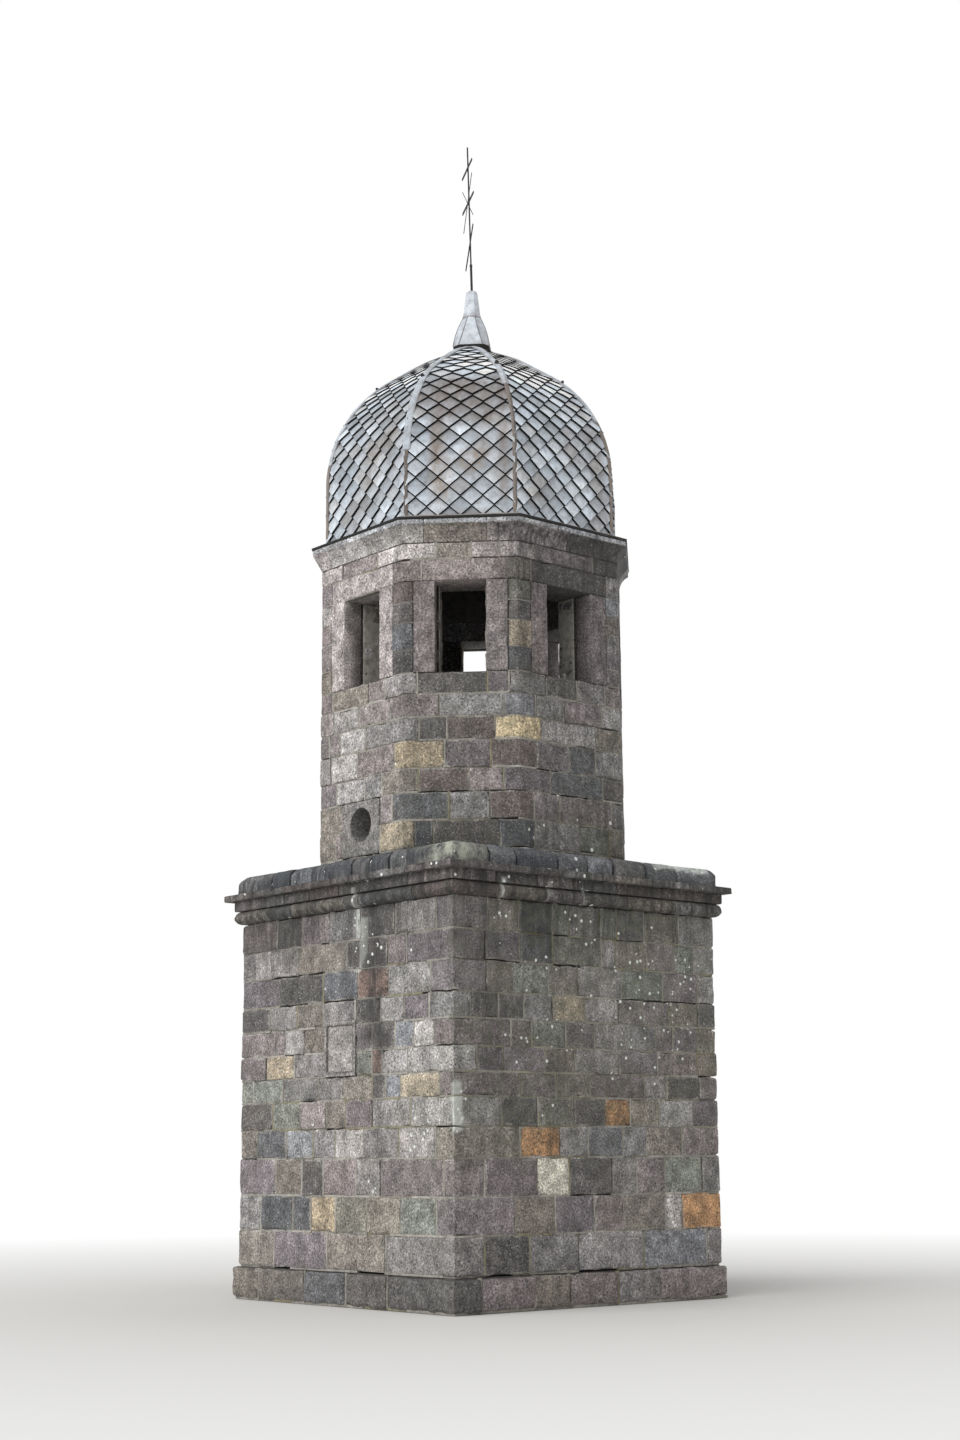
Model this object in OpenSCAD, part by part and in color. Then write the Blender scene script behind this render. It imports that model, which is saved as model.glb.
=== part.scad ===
// Stone bell tower: a square base, an eight-sided belfry with a window in
// every face, a ribbed metal dome and a three-barred cross.
// The origin is at ground level on the tower's axis, with +Z up. The front
// faces -Y and the left side faces -X.

/* [Footing] */
// Height of the rubble footing
footing_h = 315; // [150:5:600]
// How far the footing stands out past the wall
footing_proj = 66; // [20:2:150]
// Thickness of the footing from front to back
footing_t = 800; // [780:10:900]

/* [Base] */
// Outside width of the square base
base_w = 3300; // [3200:10:3600]
// Height of the base wall
base_h = 3298; // [2600:10:4000]
// Thickness of the base wall
base_t = 700; // [600:10:760]

/* [Base cornice] */
// Height of the half-round moulding at the wall top
torus_h = 132; // [80:2:160]
// Height of the flat band over the half-round
band_h = 97; // [50:1:150]
// How far the flat band stands out past the wall
band_proj = 66; // [30:1:90]
// Height of the corona slab
corona_h = 63; // [40:1:120]
// How far the corona slab stands out past the wall
corona_proj = 142; // [100:2:200]
// Depth of the cornice stones behind the wall face
cornice_bed = 400; // [300:10:500]

/* [Coping] */
// How far the coping stands out past the wall
coping_proj = 35; // [0:1:80]
// Height of the coping at its outer edge
coping_h = 190; // [120:2:260]
// Radius of the coping's outer edge
coping_r = 100; // [20:2:120]
// Slope of the coping's top, in degrees
coping_slope = 6; // [0:0.5:12]

/* [Belfry] */
// How far the belfry's side faces stand back from the base wall
belfry_setback = 215; // [170:5:260]
// How much further from the axis its corner faces lie
corner_step = 45; // [20:5:70]
// Thickness of the belfry wall
belfry_t = 450; // [400:10:520]
// Height of the wall below the window sills
apron_h = 1918; // [1500:10:2400]
// Height of a window opening
window_h = 896; // [600:5:1200]
// Width of the masonry between a side face's arris and its window's jamb
side_quoin_w = 167.5; // [140:2.5:230]
// Width of the masonry between a corner face's arris and its window's jamb
corner_quoin_w = 96; // [94:2:150]
// Width of a jamb slab
jamb_w = 208; // [120:2:220]
// Depth of a jamb slab behind the face
jamb_d = 220; // [150:5:300]
// Height of the lintels
lintel_h = 215; // [140:5:300]

/* [Oculus] */
// Radius of the round opening in the left face
oculus_r = 164; // [100:2:180]
// Height of the opening's centre over the base cornice
oculus_z = 542; // [480:2:640]
// Width of the stone that it is cut in
oculus_stone_w = 587; // [460:1:640]
// Height of that stone
oculus_stone_h = 534; // [440:2:600]
// Height of that stone's bottom over the base cornice
oculus_stone_z = 239; // [190:1:280]

/* [Eaves] */
// Height of the plain course over the lintels
frieze_h = 165; // [100:5:240]
// Height of the hollow moulding
cavetto_h = 158; // [80:2:220]
// How far the eaves stand out past the belfry wall
eaves_proj = 92; // [50:2:140]
// Height of the square edge at the top
fillet_h = 59; // [30:1:90]
// Rise of the metal weathering from its edge to the dome
flashing_rise = 70; // [30:2:120]
// Thickness of the metal edge
flashing_edge = 7; // [3:1:15]
// How far the metal edge hangs past the stone and below its top
drip = 9; // [4:1:20]
// Distance of each length of weathering from its mitre
flashing_joint = 0.5; // [0.2:0.1:3]

/* [Dome] */
// How far the dome stands back from the belfry face
dome_setback = 50; // [5:5:80]
// Height of the dome's upright foot
dome_foot_h = 670; // [400:10:900]
// Radius of the dome's curve
dome_r = 1470; // [1300:10:1550]
// Angle of the curve, in degrees, where it turns into the straight top
dome_arc = 54; // [45:1:62]
// Thickness of the boarded and metalled dome shell
dome_t = 70; // [40:5:120]
// Distance from the axis at which the shell ends under the cap
dome_end = 140; // [120:2:156]
// Width of each of the two strips along a hip
hip_w = 36; // [20:1:60]
// Thickness of the hip strips
hip_t = 14; // [8:1:25]
// Distance of each strip from its hip
hip_gap = 0.5; // [0.2:0.1:3]

/* [Cap] */
// Half width of the cap's skirt at its foot
skirt_a = 190; // [165:1:220]
// Half width of the cap's skirt at its top
skirt_top_a = 92; // [80:1:110]
// Height of the skirt
skirt_h = 345; // [240:5:400]
// How far the skirt's sides bulge
skirt_bulge = 16; // [4:1:24]
// Height of the neck
neck_h = 311; // [220:1:380]
// Half width of the cap's neck under its crown
neck_top_a = 61; // [50:1:75]
// Height of the crown that closes the neck
crown_h = 42; // [20:1:80]
// Half width of the crown at its top
crown_a = 34; // [24:1:45]

/* [Cross] */
// Direction in which the cross's bars point, in degrees from +X
cross_turn = 242; // [0:1:360]
// Lean of the cross, in degrees
cross_lean = 1.3; // [0:0.1:3]
// Direction of that lean, in degrees from +X
lean_turn = 140; // [0:1:360]
// Radius of the socket rod
socket_r = 12.5; // [12:0.5:18]
// Height of the socket rod over the cap
socket_h = 309; // [200:1:450]
// Depth of the socket rod inside the cap
socket_seat = 120; // [60:5:180]
// Clearance of the socket rod in the cap
socket_gap = 0.5; // [0.2:0.1:2]
// Width of the square mast
mast_w = 14; // [10:1:16]
// Height of the mast over the socket rod
mast_h = 1336; // [1200:8:1600]
// Height of the cross bars' section
bar_h = 30; // [16:1:50]
// Thickness of the cross bars
bar_t = 8; // [4:1:14]
// Length of the upper bar
upper_len = 500; // [300:10:700]
// Length of the middle bar
middle_len = 560; // [400:10:900]
// Length of the slanted lower bar
lower_len = 540; // [300:10:700]
// Slant of the lower bar, in degrees
lower_tilt = 40; // [10:1:60]
// Height of the upper bar over the socket rod
upper_z = 1080; // [900:2:1150]
// Height of the middle bar over the socket rod
middle_z = 692; // [560:2:760]
// Height of the lower bar over the socket rod
lower_z = 190; // [150:2:320]
// Length of each of the two thin rays across the middle bar
ray_len = 680; // [400:10:800]
// Radius of a ray
ray_r = 4; // [2:0.5:6]

/* [Tablet] */
// Width of the stone tablet on the left wall
tablet_w = 478; // [300:2:700]
// Height of the tablet
tablet_h = 508; // [300:2:700]
// Height of the tablet's centre over the footing
tablet_z = 2005; // [1200:5:2500]
// Distance of its centre behind the tower's axis
tablet_y = 8; // [-300:2:300]
// Thickness of the tablet
tablet_t = 120; // [80:5:160]
// How far the tablet stands out of the wall
tablet_proj = 14; // [5:1:40]
// Width of the tablet's raised border
tablet_rim = 40; // [20:1:70]
// Depth of the tablet's field inside its border
tablet_sink = 12; // [4:1:25]

/* [Hidden] */
$fn = 96;

stone = "#8f8780";
rough_stone = "#7d766f";
dark_stone = "#5c5a57";
pale_stone = "#a59c93";
zinc = "#a9b4bd";
iron = "#3b3836";

// Directions of the tower's faces, in degrees from +X
right_turn = 0;
back_right_turn = 45;
back_turn = 90;
back_left_turn = 135;
left_turn = 180;
front_left_turn = 225;
front_turn = 270;
front_right_turn = 315;
side_faces = [right_turn, back_turn, left_turn, front_turn];
corner_faces = [back_right_turn, back_left_turn, front_left_turn, front_right_turn];

base_a = base_w / 2;
side_a = base_a - belfry_setback;
corner_a = side_a + corner_step;
side_window_w = 2 * (face_half(side_a, corner_a) - side_quoin_w - jamb_w);
corner_window_w = 2 * (face_half(corner_a, side_a) - corner_quoin_w - jamb_w);
mitre = tan(22.5);
far = 3 * base_w;
over = base_w / 1000;
base_z = footing_h;
cornice_z = base_z + base_h;
cornice_h = torus_h + band_h + corona_h;
belfry_z = cornice_z + cornice_h;
sill_z = belfry_z + apron_h;
head_z = sill_z + window_h;
frieze_z = head_z + lintel_h;
eaves_z = frieze_z + frieze_h + cavetto_h + fillet_h;
dome_side_a = side_a - dome_setback;
dome_corner_a = corner_a - dome_setback;
straight_slope = 90 - dome_arc;
hip_face = min(face_half(dome_side_a, dome_corner_a), face_half(dome_corner_a, dome_side_a));
hip_end = max(skirt_a, dome_side_a - (hip_face - hip_w - 4 * hip_gap) / mitre);
dome_turn_x = dome_side_a - dome_r * (1 - cos(dome_arc));
dome_turn_z = dome_foot_h + dome_r * sin(dome_arc);
skirt_z = eaves_z + dome_turn_z + (dome_turn_x - skirt_a) * tan(straight_slope);
neck_z = skirt_z + skirt_h;
cap_top_z = neck_z + neck_h;

// Half length of a face that lies at distance a from the axis, beside faces at distance other
function face_half(a, other) = other * sqrt(2) - a;
function half_at(a, other, x) = face_half(a, other) + (x - a) * mitre;

// Plan of one face of an eight-sided ring, from distance x0 to x1, with mitred ends
module face_plan(a, other, x0, x1) {
    point_x = a - face_half(a, other) / mitre;
    end_half = half_at(a, other, x1);
    intersection() {
        polygon([[point_x, 0], [x1, -end_half], [x1, end_half]]);
        polygon([[x0, -x0], [x1, -x1], [x1, x1], [x0, x0]]);
    }
}

// A profile, x outwards and y up, drawn along one face and mitred at both ends
module face_moulding(a, other, x0, x1, h) {
    intersection() {
        rotate([90, 0, 0])
            linear_extrude(height = far, center = true)
                children();
        translate([0, 0, -h])
            linear_extrude(height = 3 * h)
                face_plan(a, other, x0, x1);
    }
}

// One side of a square ring, from distance x0 to x1, with mitred ends
module side_block(x0, x1, h) {
    linear_extrude(height = h)
        polygon([[x0, -x0], [x1, -x1], [x1, x1], [x0, x0]]);
}

// A profile drawn along one side of the square base and mitred at both ends
module side_moulding(x0, x1, h) {
    intersection() {
        rotate([90, 0, 0])
            linear_extrude(height = far, center = true)
                children();
        translate([0, 0, -h])
            side_block(x0, x1, 3 * h);
    }
}

module footing(face) {
    color(rough_stone)
        rotate(face)
            side_block(base_a + footing_proj - footing_t, base_a + footing_proj, footing_h);
}

module base_wall(face) {
    color(stone)
        translate([0, 0, base_z])
            rotate(face)
                side_block(base_a - base_t, base_a, base_h);
}

module tablet_block(t) {
    translate([-base_a - tablet_proj, tablet_y - tablet_w / 2, base_z + tablet_z - tablet_h / 2])
        cube([t, tablet_w, tablet_h]);
}

module base_wall_left() {
    color(stone)
        difference() {
            base_wall(left_turn);
            tablet_block(tablet_t);
        }
}

module wall_tablet() {
    color(pale_stone)
        difference() {
            tablet_block(tablet_t);
            translate([-base_a - tablet_proj - over, tablet_y - tablet_w / 2 + tablet_rim,
                       base_z + tablet_z - tablet_h / 2 + tablet_rim])
                cube([tablet_sink + over, tablet_w - 2 * tablet_rim, tablet_h - 2 * tablet_rim]);
        }
}

// Section of the base cornice: half-round, flat band and corona slab
module base_cornice_section() {
    translate([base_a - cornice_bed, 0])
        square([cornice_bed, torus_h]);
    translate([base_a, torus_h / 2])
        circle(r = torus_h / 2);
    translate([base_a - cornice_bed, torus_h])
        square([cornice_bed + band_proj, band_h]);
    translate([base_a - cornice_bed, torus_h + band_h])
        square([cornice_bed + corona_proj, corona_h]);
}

module base_cornice(face) {
    color(stone)
        translate([0, 0, cornice_z])
            rotate(face)
                side_moulding(base_a - cornice_bed, base_a + corona_proj, cornice_h)
                    base_cornice_section();
}

// Section of the coping: an upright edge, rounded over to a sloping top
module coping_section() {
    edge = base_a + coping_proj;
    round_x = edge - coping_r;
    round_z = coping_h - coping_r;
    touch_x = round_x + coping_r * sin(coping_slope);
    touch_z = round_z + coping_r * cos(coping_slope);
    inner_z = touch_z + touch_x * tan(coping_slope);
    polygon([[0, 0], [edge, 0], [edge, round_z], [round_x, round_z], [touch_x, touch_z], [0, inner_z]]);
    translate([round_x, round_z])
        circle(r = coping_r);
}

module belfry_plan(inset) {
    intersection() {
        square(2 * (side_a - inset), center = true);
        rotate(45)
            square(2 * (corner_a - inset), center = true);
    }
}

module coping(face) {
    color(dark_stone)
        translate([0, 0, belfry_z])
            rotate(face)
                difference() {
                    side_moulding(base_a / 2, base_a + coping_proj, 3 * coping_h)
                        coping_section();
                    translate([0, 0, -coping_h])
                        linear_extrude(height = 5 * coping_h)
                            belfry_plan(0);
                }
}

module belfry_floor() {
    floor_w = base_w - 2 * cornice_bed;
    color(rough_stone)
        translate([-floor_w / 2, -floor_w / 2, cornice_z])
            cube([floor_w, floor_w, cornice_h]);
}

// One face of the belfry, as a wall of its full thickness
module face_wall(a, other, h) {
    linear_extrude(height = h)
        face_plan(a, other, a - belfry_t, a);
}

module belfry_wall(face, a, other) {
    color(stone)
        translate([0, 0, belfry_z])
            rotate(face)
                face_wall(a, other, apron_h);
}

module oculus_block(past) {
    translate([-side_a - past, -oculus_stone_w / 2, belfry_z + oculus_stone_z])
        cube([belfry_t + 2 * past, oculus_stone_w, oculus_stone_h]);
}

module belfry_wall_left() {
    color(stone)
        difference() {
            belfry_wall(left_turn, side_a, corner_a);
            oculus_block(over);
        }
}

module oculus_stone() {
    color(pale_stone)
        difference() {
            oculus_block(0);
            translate([-side_a - over, 0, belfry_z + oculus_z])
                rotate([0, 90, 0])
                    cylinder(r = oculus_r, h = belfry_t + 2 * over);
        }
}

// The opening of one window and the rebates behind its jamb slabs, in plan
module window_cut(a, window_w) {
    translate([0, -window_w / 2])
        square([far, window_w]);
    translate([a - jamb_d, -window_w / 2 - jamb_w])
        square([far, window_w + 2 * jamb_w]);
}

// The pier over the corner between a side face and the next corner face
module belfry_pier() {
    linear_extrude(height = window_h)
        difference() {
            intersection() {
                belfry_plan(0);
                polygon([[0, 0], [far, 0], [far, far]]);
            }
            belfry_plan(belfry_t);
            window_cut(side_a, side_window_w);
            rotate(45)
                window_cut(corner_a, corner_window_w);
        }
}

// The two piers beside one side window
module belfry_piers(face) {
    color(stone)
        translate([0, 0, sill_z])
            rotate(face) {
                belfry_pier();
                mirror([0, 1, 0])
                    belfry_pier();
            }
}

module window_jambs(faces, a, window_w) {
    color(pale_stone)
        translate([0, 0, sill_z])
            for (face = faces, way = [0, 1])
                rotate(face)
                    mirror([0, way, 0])
                        translate([a - jamb_d, window_w / 2, 0])
                            cube([jamb_d, jamb_w, window_h]);
}

module lintels(faces, a, other) {
    color(pale_stone)
        translate([0, 0, head_z])
            for (face = faces)
                rotate(face)
                    face_wall(a, other, lintel_h);
}

// Section of the eaves cornice: plain course, hollow moulding and square edge
module eaves_section(a) {
    hollow_r = (pow(eaves_proj, 2) + pow(cavetto_h, 2)) / (2 * eaves_proj);
    difference() {
        translate([a - belfry_t, 0])
            square([belfry_t + eaves_proj, frieze_h + cavetto_h + fillet_h]);
        translate([a, -frieze_h])
            square([far, 2 * frieze_h]);
        translate([a + hollow_r, frieze_h])
            circle(r = hollow_r);
    }
}

module eaves_cornice(faces, a, other) {
    color(pale_stone)
        translate([0, 0, frieze_z])
            for (face = faces)
                rotate(face)
                    face_moulding(a, other, a - belfry_t, a + eaves_proj, eaves_z - frieze_z)
                        eaves_section(a);
}

// A symmetrical profile drawn through the tower along two opposite faces
module through_block() {
    rotate([90, 0, 0])
        linear_extrude(height = far, center = true)
            children();
}

// Section of the metal weathering along one face
module flashing_section(a) {
    foot = a - dome_setback;
    stone_edge = a + eaves_proj;
    edge = stone_edge + drip;
    polygon([
        [foot, 0],
        [stone_edge, 0],
        [stone_edge, -drip],
        [edge, -drip],
        [edge, flashing_edge],
        [foot, flashing_rise]
    ]);
}

// The weathering over one face, with a joint at both mitres
module flashing_length(a, other) {
    foot = a - dome_setback;
    edge = a + eaves_proj + drip;
    foot_half = half_at(a, other, foot) - flashing_joint;
    edge_half = half_at(a, other, edge) - flashing_joint;
    intersection() {
        rotate([90, 0, 0])
            linear_extrude(height = far, center = true)
                flashing_section(a);
        translate([0, 0, -far / 2])
            linear_extrude(height = far)
                polygon([[foot, -foot_half], [edge, -edge_half], [edge, edge_half], [foot, foot_half]]);
    }
}

module eaves_flashing() {
    color(zinc)
        translate([0, 0, eaves_z]) {
            for (face = side_faces)
                rotate(face)
                    flashing_length(side_a, corner_a);
            for (face = corner_faces)
                rotate(face)
                    flashing_length(corner_a, side_a);
        }
}

// Outline of the dome over one face: upright foot, curve and straight top
module under_dome(a, r) {
    centre_x = a - dome_r;
    turn_x = centre_x + r * cos(dome_arc);
    turn_z = dome_foot_h + r * sin(dome_arc);
    intersection() {
        union() {
            square([centre_x + r, dome_foot_h]);
            translate([centre_x, dome_foot_h])
                circle(r = r, $fn = 180);
            polygon([[0, 0], [turn_x, 0], [turn_x, turn_z], [0, turn_z + turn_x * tan(straight_slope)]]);
        }
        square([far, far]);
    }
}

// Section of the dome's shell along one face
module dome_section(a) {
    difference() {
        under_dome(a, dome_r);
        under_dome(a, dome_r - dome_t);
        square([dome_end, far]);
    }
}

module dome_gores(faces, a, other) {
    color(zinc)
        translate([0, 0, eaves_z])
            for (face = faces)
                rotate(face)
                    face_moulding(a, other, dome_end, a, far)
                        dome_section(a);
}

// The strip on one face beside the hip at its anticlockwise end
module hip_strip(a, other) {
    end = hip_end + a - dome_side_a;
    edge = face_half(a, other) - a * mitre;
    intersection() {
        through_block()
            difference() {
                under_dome(a, dome_r + hip_t);
                under_dome(a, dome_r);
                square([far, flashing_rise]);
                square([end, far]);
            }
        linear_extrude(height = far)
            polygon([
                [0, edge - hip_w],
                [far, edge + far * mitre - hip_w],
                [far, edge + far * mitre - hip_gap],
                [0, edge - hip_gap]
            ]);
    }
}

module dome_hip_strips() {
    color(zinc)
        translate([0, 0, eaves_z])
            for (turn = [0, 90, 180, 270], way = [0, 1]) {
                rotate(turn)
                    mirror([0, way, 0])
                        hip_strip(dome_side_a, dome_corner_a);
                rotate(turn + 45)
                    mirror([0, way, 0])
                        hip_strip(dome_corner_a, dome_side_a);
            }
}

// An eight-sided solid whose outline is the same from all eight faces
module eight_sided(reach) {
    intersection_for (turn = [0, 45, 90, 135])
        rotate(turn)
            rotate([90, 0, 0])
                linear_extrude(height = 2 * reach, center = true)
                    children();
}

// The straight top of the dome over two opposite faces
module peak_block(a) {
    turn_x = a - dome_r * (1 - cos(dome_arc));
    through_block()
        polygon([[-turn_x, dome_turn_z], [turn_x, dome_turn_z], [0, dome_turn_z + turn_x * tan(straight_slope)]]);
}

// Outline of the skirt: both sides are arcs that bulge outwards
module skirt_outline() {
    run = skirt_a - skirt_top_a;
    chord = norm([run, skirt_h]);
    centre_d = (pow(chord / 2, 2) - pow(skirt_bulge, 2)) / (2 * skirt_bulge);
    centre_x = (skirt_a + skirt_top_a) / 2 - centre_d * skirt_h / chord;
    centre_z = skirt_h / 2 - centre_d * run / chord;
    intersection() {
        translate([-skirt_a, 0])
            square([2 * skirt_a, skirt_h]);
        intersection_for (way = [-1, 1])
            translate([way * centre_x, centre_z])
                circle(r = centre_d + skirt_bulge, $fn = 180);
    }
}

// The skirt of the cap, cut to sit on the dome
module cap_skirt() {
    color(zinc)
        difference() {
            translate([0, 0, skirt_z])
                eight_sided(skirt_a)
                    skirt_outline();
            translate([0, 0, eaves_z])
                intersection() {
                    peak_block(dome_side_a);
                    rotate(90) peak_block(dome_side_a);
                    rotate(45) peak_block(dome_corner_a);
                    rotate(135) peak_block(dome_corner_a);
                }
        }
}

module on_cap() {
    translate([0, 0, cap_top_z])
        rotate(lean_turn)
            rotate([0, cross_lean, 0])
                rotate(-lean_turn)
                    children();
}

// Outline of the neck: tapering sides and a steeper crown
module neck_outline() {
    crown_z = neck_h - crown_h;
    polygon([
        [-skirt_top_a, 0],
        [skirt_top_a, 0],
        [neck_top_a, crown_z],
        [crown_a, neck_h],
        [-crown_a, neck_h],
        [-neck_top_a, crown_z]
    ]);
}

module cap_neck() {
    color(zinc)
        difference() {
            translate([0, 0, neck_z])
                eight_sided(skirt_a)
                    neck_outline();
            on_cap()
                translate([0, 0, -socket_seat])
                    cylinder(r = socket_r + socket_gap, h = 2 * socket_seat);
        }
}

module cross_mast() {
    color(iron)
        on_cap() {
            translate([0, 0, -socket_seat])
                cylinder(r = socket_r, h = socket_seat + socket_h);
            rotate(cross_turn)
                translate([-mast_w / 2, -mast_w / 2, 0])
                    cube([mast_w, mast_w, socket_h + mast_h]);
        }
}

// A flat bar across the mast, laid against one of its faces
module cross_bar(len, z, tilt) {
    translate([0, -mast_w / 2 - bar_t, socket_h + z])
        rotate([0, -tilt, 0])
            translate([-len / 2, 0, -bar_h / 2])
                cube([len, bar_t, bar_h]);
}

module cross_bars_and_rays() {
    color(iron)
        on_cap()
            rotate(cross_turn) {
                cross_bar(upper_len, upper_z, 0);
                cross_bar(middle_len, middle_z, 0);
                cross_bar(lower_len, lower_z, lower_tilt);
                for (way = [-45, 45])
                    translate([0, -mast_w / 2 - bar_t, socket_h + middle_z])
                        rotate([0, way, 0])
                            cylinder(r = ray_r, h = ray_len, center = true);
            }
}

footing(left_turn);  // footing_left
footing(front_turn);  // footing_front
footing(right_turn);  // footing_right
footing(back_turn);  // footing_back
base_wall_left();
base_wall(front_turn);  // base_wall_front
base_wall(right_turn);  // base_wall_right
base_wall(back_turn);  // base_wall_back
base_cornice(left_turn);  // base_cornice_left
base_cornice(front_turn);  // base_cornice_front
base_cornice(right_turn);  // base_cornice_right
base_cornice(back_turn);  // base_cornice_back
coping(left_turn);  // coping_left
coping(front_turn);  // coping_front
coping(right_turn);  // coping_right
coping(back_turn);  // coping_back
wall_tablet();
belfry_floor();
belfry_wall_left();
belfry_wall(front_left_turn, corner_a, side_a);  // belfry_wall_front_left
belfry_wall(front_turn, side_a, corner_a);  // belfry_wall_front
belfry_wall(front_right_turn, corner_a, side_a);  // belfry_wall_front_right
belfry_wall(right_turn, side_a, corner_a);  // belfry_wall_right
belfry_wall(back_right_turn, corner_a, side_a);  // belfry_wall_back_right
belfry_wall(back_turn, side_a, corner_a);  // belfry_wall_back
belfry_wall(back_left_turn, corner_a, side_a);  // belfry_wall_back_left
oculus_stone();
belfry_piers(left_turn);  // belfry_piers_left
belfry_piers(front_turn);  // belfry_piers_front
belfry_piers(right_turn);  // belfry_piers_right
belfry_piers(back_turn);  // belfry_piers_back
window_jambs(side_faces, side_a, side_window_w);  // side_window_jambs
window_jambs(corner_faces, corner_a, corner_window_w);  // corner_window_jambs
lintels(side_faces, side_a, corner_a);  // side_lintels
lintels(corner_faces, corner_a, side_a);  // corner_lintels
eaves_cornice(side_faces, side_a, corner_a);  // side_eaves_cornice
eaves_cornice(corner_faces, corner_a, side_a);  // corner_eaves_cornice
eaves_flashing();
dome_gores(side_faces, dome_side_a, dome_corner_a);  // side_dome_gores
dome_gores(corner_faces, dome_corner_a, dome_side_a);  // corner_dome_gores
dome_hip_strips();
cap_skirt();
cap_neck();
cross_mast();
cross_bars_and_rays();
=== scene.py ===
import math
import random
from functools import partial

import bmesh
import bpy
from mathutils import Matrix, Vector, noise


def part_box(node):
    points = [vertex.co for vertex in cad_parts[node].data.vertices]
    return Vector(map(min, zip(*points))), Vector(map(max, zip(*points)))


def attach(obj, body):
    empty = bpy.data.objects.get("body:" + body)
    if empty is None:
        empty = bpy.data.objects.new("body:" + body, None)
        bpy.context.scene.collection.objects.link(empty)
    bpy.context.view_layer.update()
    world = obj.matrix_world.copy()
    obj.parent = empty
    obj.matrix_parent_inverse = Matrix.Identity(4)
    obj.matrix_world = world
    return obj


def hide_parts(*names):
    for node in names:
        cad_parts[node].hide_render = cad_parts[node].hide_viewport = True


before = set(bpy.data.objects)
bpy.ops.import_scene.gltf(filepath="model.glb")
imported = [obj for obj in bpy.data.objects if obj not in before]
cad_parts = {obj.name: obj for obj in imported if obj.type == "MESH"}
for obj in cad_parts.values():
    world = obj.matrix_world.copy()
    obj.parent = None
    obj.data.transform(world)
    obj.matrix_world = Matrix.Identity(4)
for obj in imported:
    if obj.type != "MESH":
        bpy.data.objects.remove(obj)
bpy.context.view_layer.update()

up = Vector((0, 0, 1))
mm = 0.001


# levels and distances that the masonry follows, read from the frame
levels = {
    "footingTop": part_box("footing_left")[1].z, "wallTop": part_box("base_wall_left")[1].z,
    "corniceTop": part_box("base_cornice_left")[1].z, "sill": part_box("belfry_wall_front")[1].z,
    "head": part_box("belfry_piers_left")[1].z, "lintelTop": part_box("side_lintels")[1].z,
    "eavesTop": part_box("side_eaves_cornice")[1].z,
}
baseDistance = -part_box("base_wall_left")[0].x
sideDistance = -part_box("belfry_wall_left")[0].x
cornerStep = 45 * mm  # the corner faces stand this much further out than the side faces
cornerDistance = sideDistance + cornerStep
footingDistance = -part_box("footing_left")[0].x
weld = 0.05 * mm  # corners nearer than this are joined
edgeDrops = (1.0, 0.32, 0.0)  # share of the rounding at a stone's first three rows of points
leftTurn, frontLeftTurn, frontTurn = 180, 225, 270  # where the faces in view point to, in degrees


def clamp(x, low=0.0, high=1.0):
    return max(low, min(high, x))


def hexColor(code):
    out = []
    for i in (0, 2, 4):
        c = int(code[i:i + 2], 16) / 255
        out.append(c / 12.92 if c <= 0.04045 else ((c + 0.055) / 1.055) ** 2.4)
    return (*out, 1.0)


def pointAt(turn, out, along, z):
    # a point by its distance from the tower's axis and its place along a face
    t = math.radians(turn)
    return Vector((math.cos(t) * out - math.sin(t) * along, math.sin(t) * out + math.cos(t) * along, z))


# rings of faces: u runs to the right along a face seen from outside, d outwards
def makeRing(turns, distances):
    count = len(turns)
    step = 2 * math.pi / count
    pairs = zip(distances, distances[1:] + distances[:1])
    halves = [(after - own * math.cos(step)) / math.sin(step) for own, after in pairs]
    bend = math.tan(step / 2)
    return {"turns": turns, "distances": distances, "halves": halves, "bend": bend, "count": count}


squareRing = makeRing([180, 270, 0, 90], [baseDistance] * 4)
footingRing = makeRing([180, 270, 0, 90], [footingDistance] * 4)
belfryRing = makeRing([180, 225, 270, 315, 0, 45, 90, 135], [sideDistance, cornerDistance] * 4)
squareNames = ["left", "front", "right", "back"]
belfryNames = ["left", "front_left", "front", "front_right", "right", "back_right", "back", "back_left"]


def placeOnRing(ring, k, u, d, z):
    while u > ring["halves"][k] + 1e-6:
        u -= ring["halves"][k]
        k = (k + 1) % ring["count"]
        u -= ring["halves"][k]
    while u < -ring["halves"][k] - 1e-6:
        u += ring["halves"][k]
        k = (k - 1) % ring["count"]
        u += ring["halves"][k]
    half = ring["halves"][k]
    limit = half + d * ring["bend"]
    if abs(abs(u) - half) < 2e-6:
        u = math.copysign(limit, u)
    return pointAt(ring["turns"][k], ring["distances"][k] + d, clamp(u, -limit, limit), z)


def onFace(ring, k):
    return lambda u, d, z: placeOnRing(ring, k, u, d, z)


def movedOut(place, out):
    return lambda u, d, z: place(u, d + out, z)


def arrisesBetween(ring, k, u0, u1):
    found = []
    edge = ring["halves"][k]
    while edge < u1 - 1e-6:
        if edge > u0 + 1e-6:
            found.append(edge)
        k = (k + 1) % ring["count"]
        edge += 2 * ring["halves"][k]
    return found


# a shell gathers the vertices, faces and painted values of one piece
class Shell:
    def __init__(self, name):
        self.name = name
        self.verts, self.faces, self.slots = [], [], []
        self.tints, self.weathers = [], []

    def vert(self, p, tint=(0.1, 0.1, 0.1), weather=(0, 0, 0)):
        self.verts.append(p)
        self.tints.append(tint)
        self.weathers.append(weather)
        return len(self.verts) - 1

    def face(self, corners, slot=0):
        self.faces.append(corners)
        self.slots.append(slot)


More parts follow.
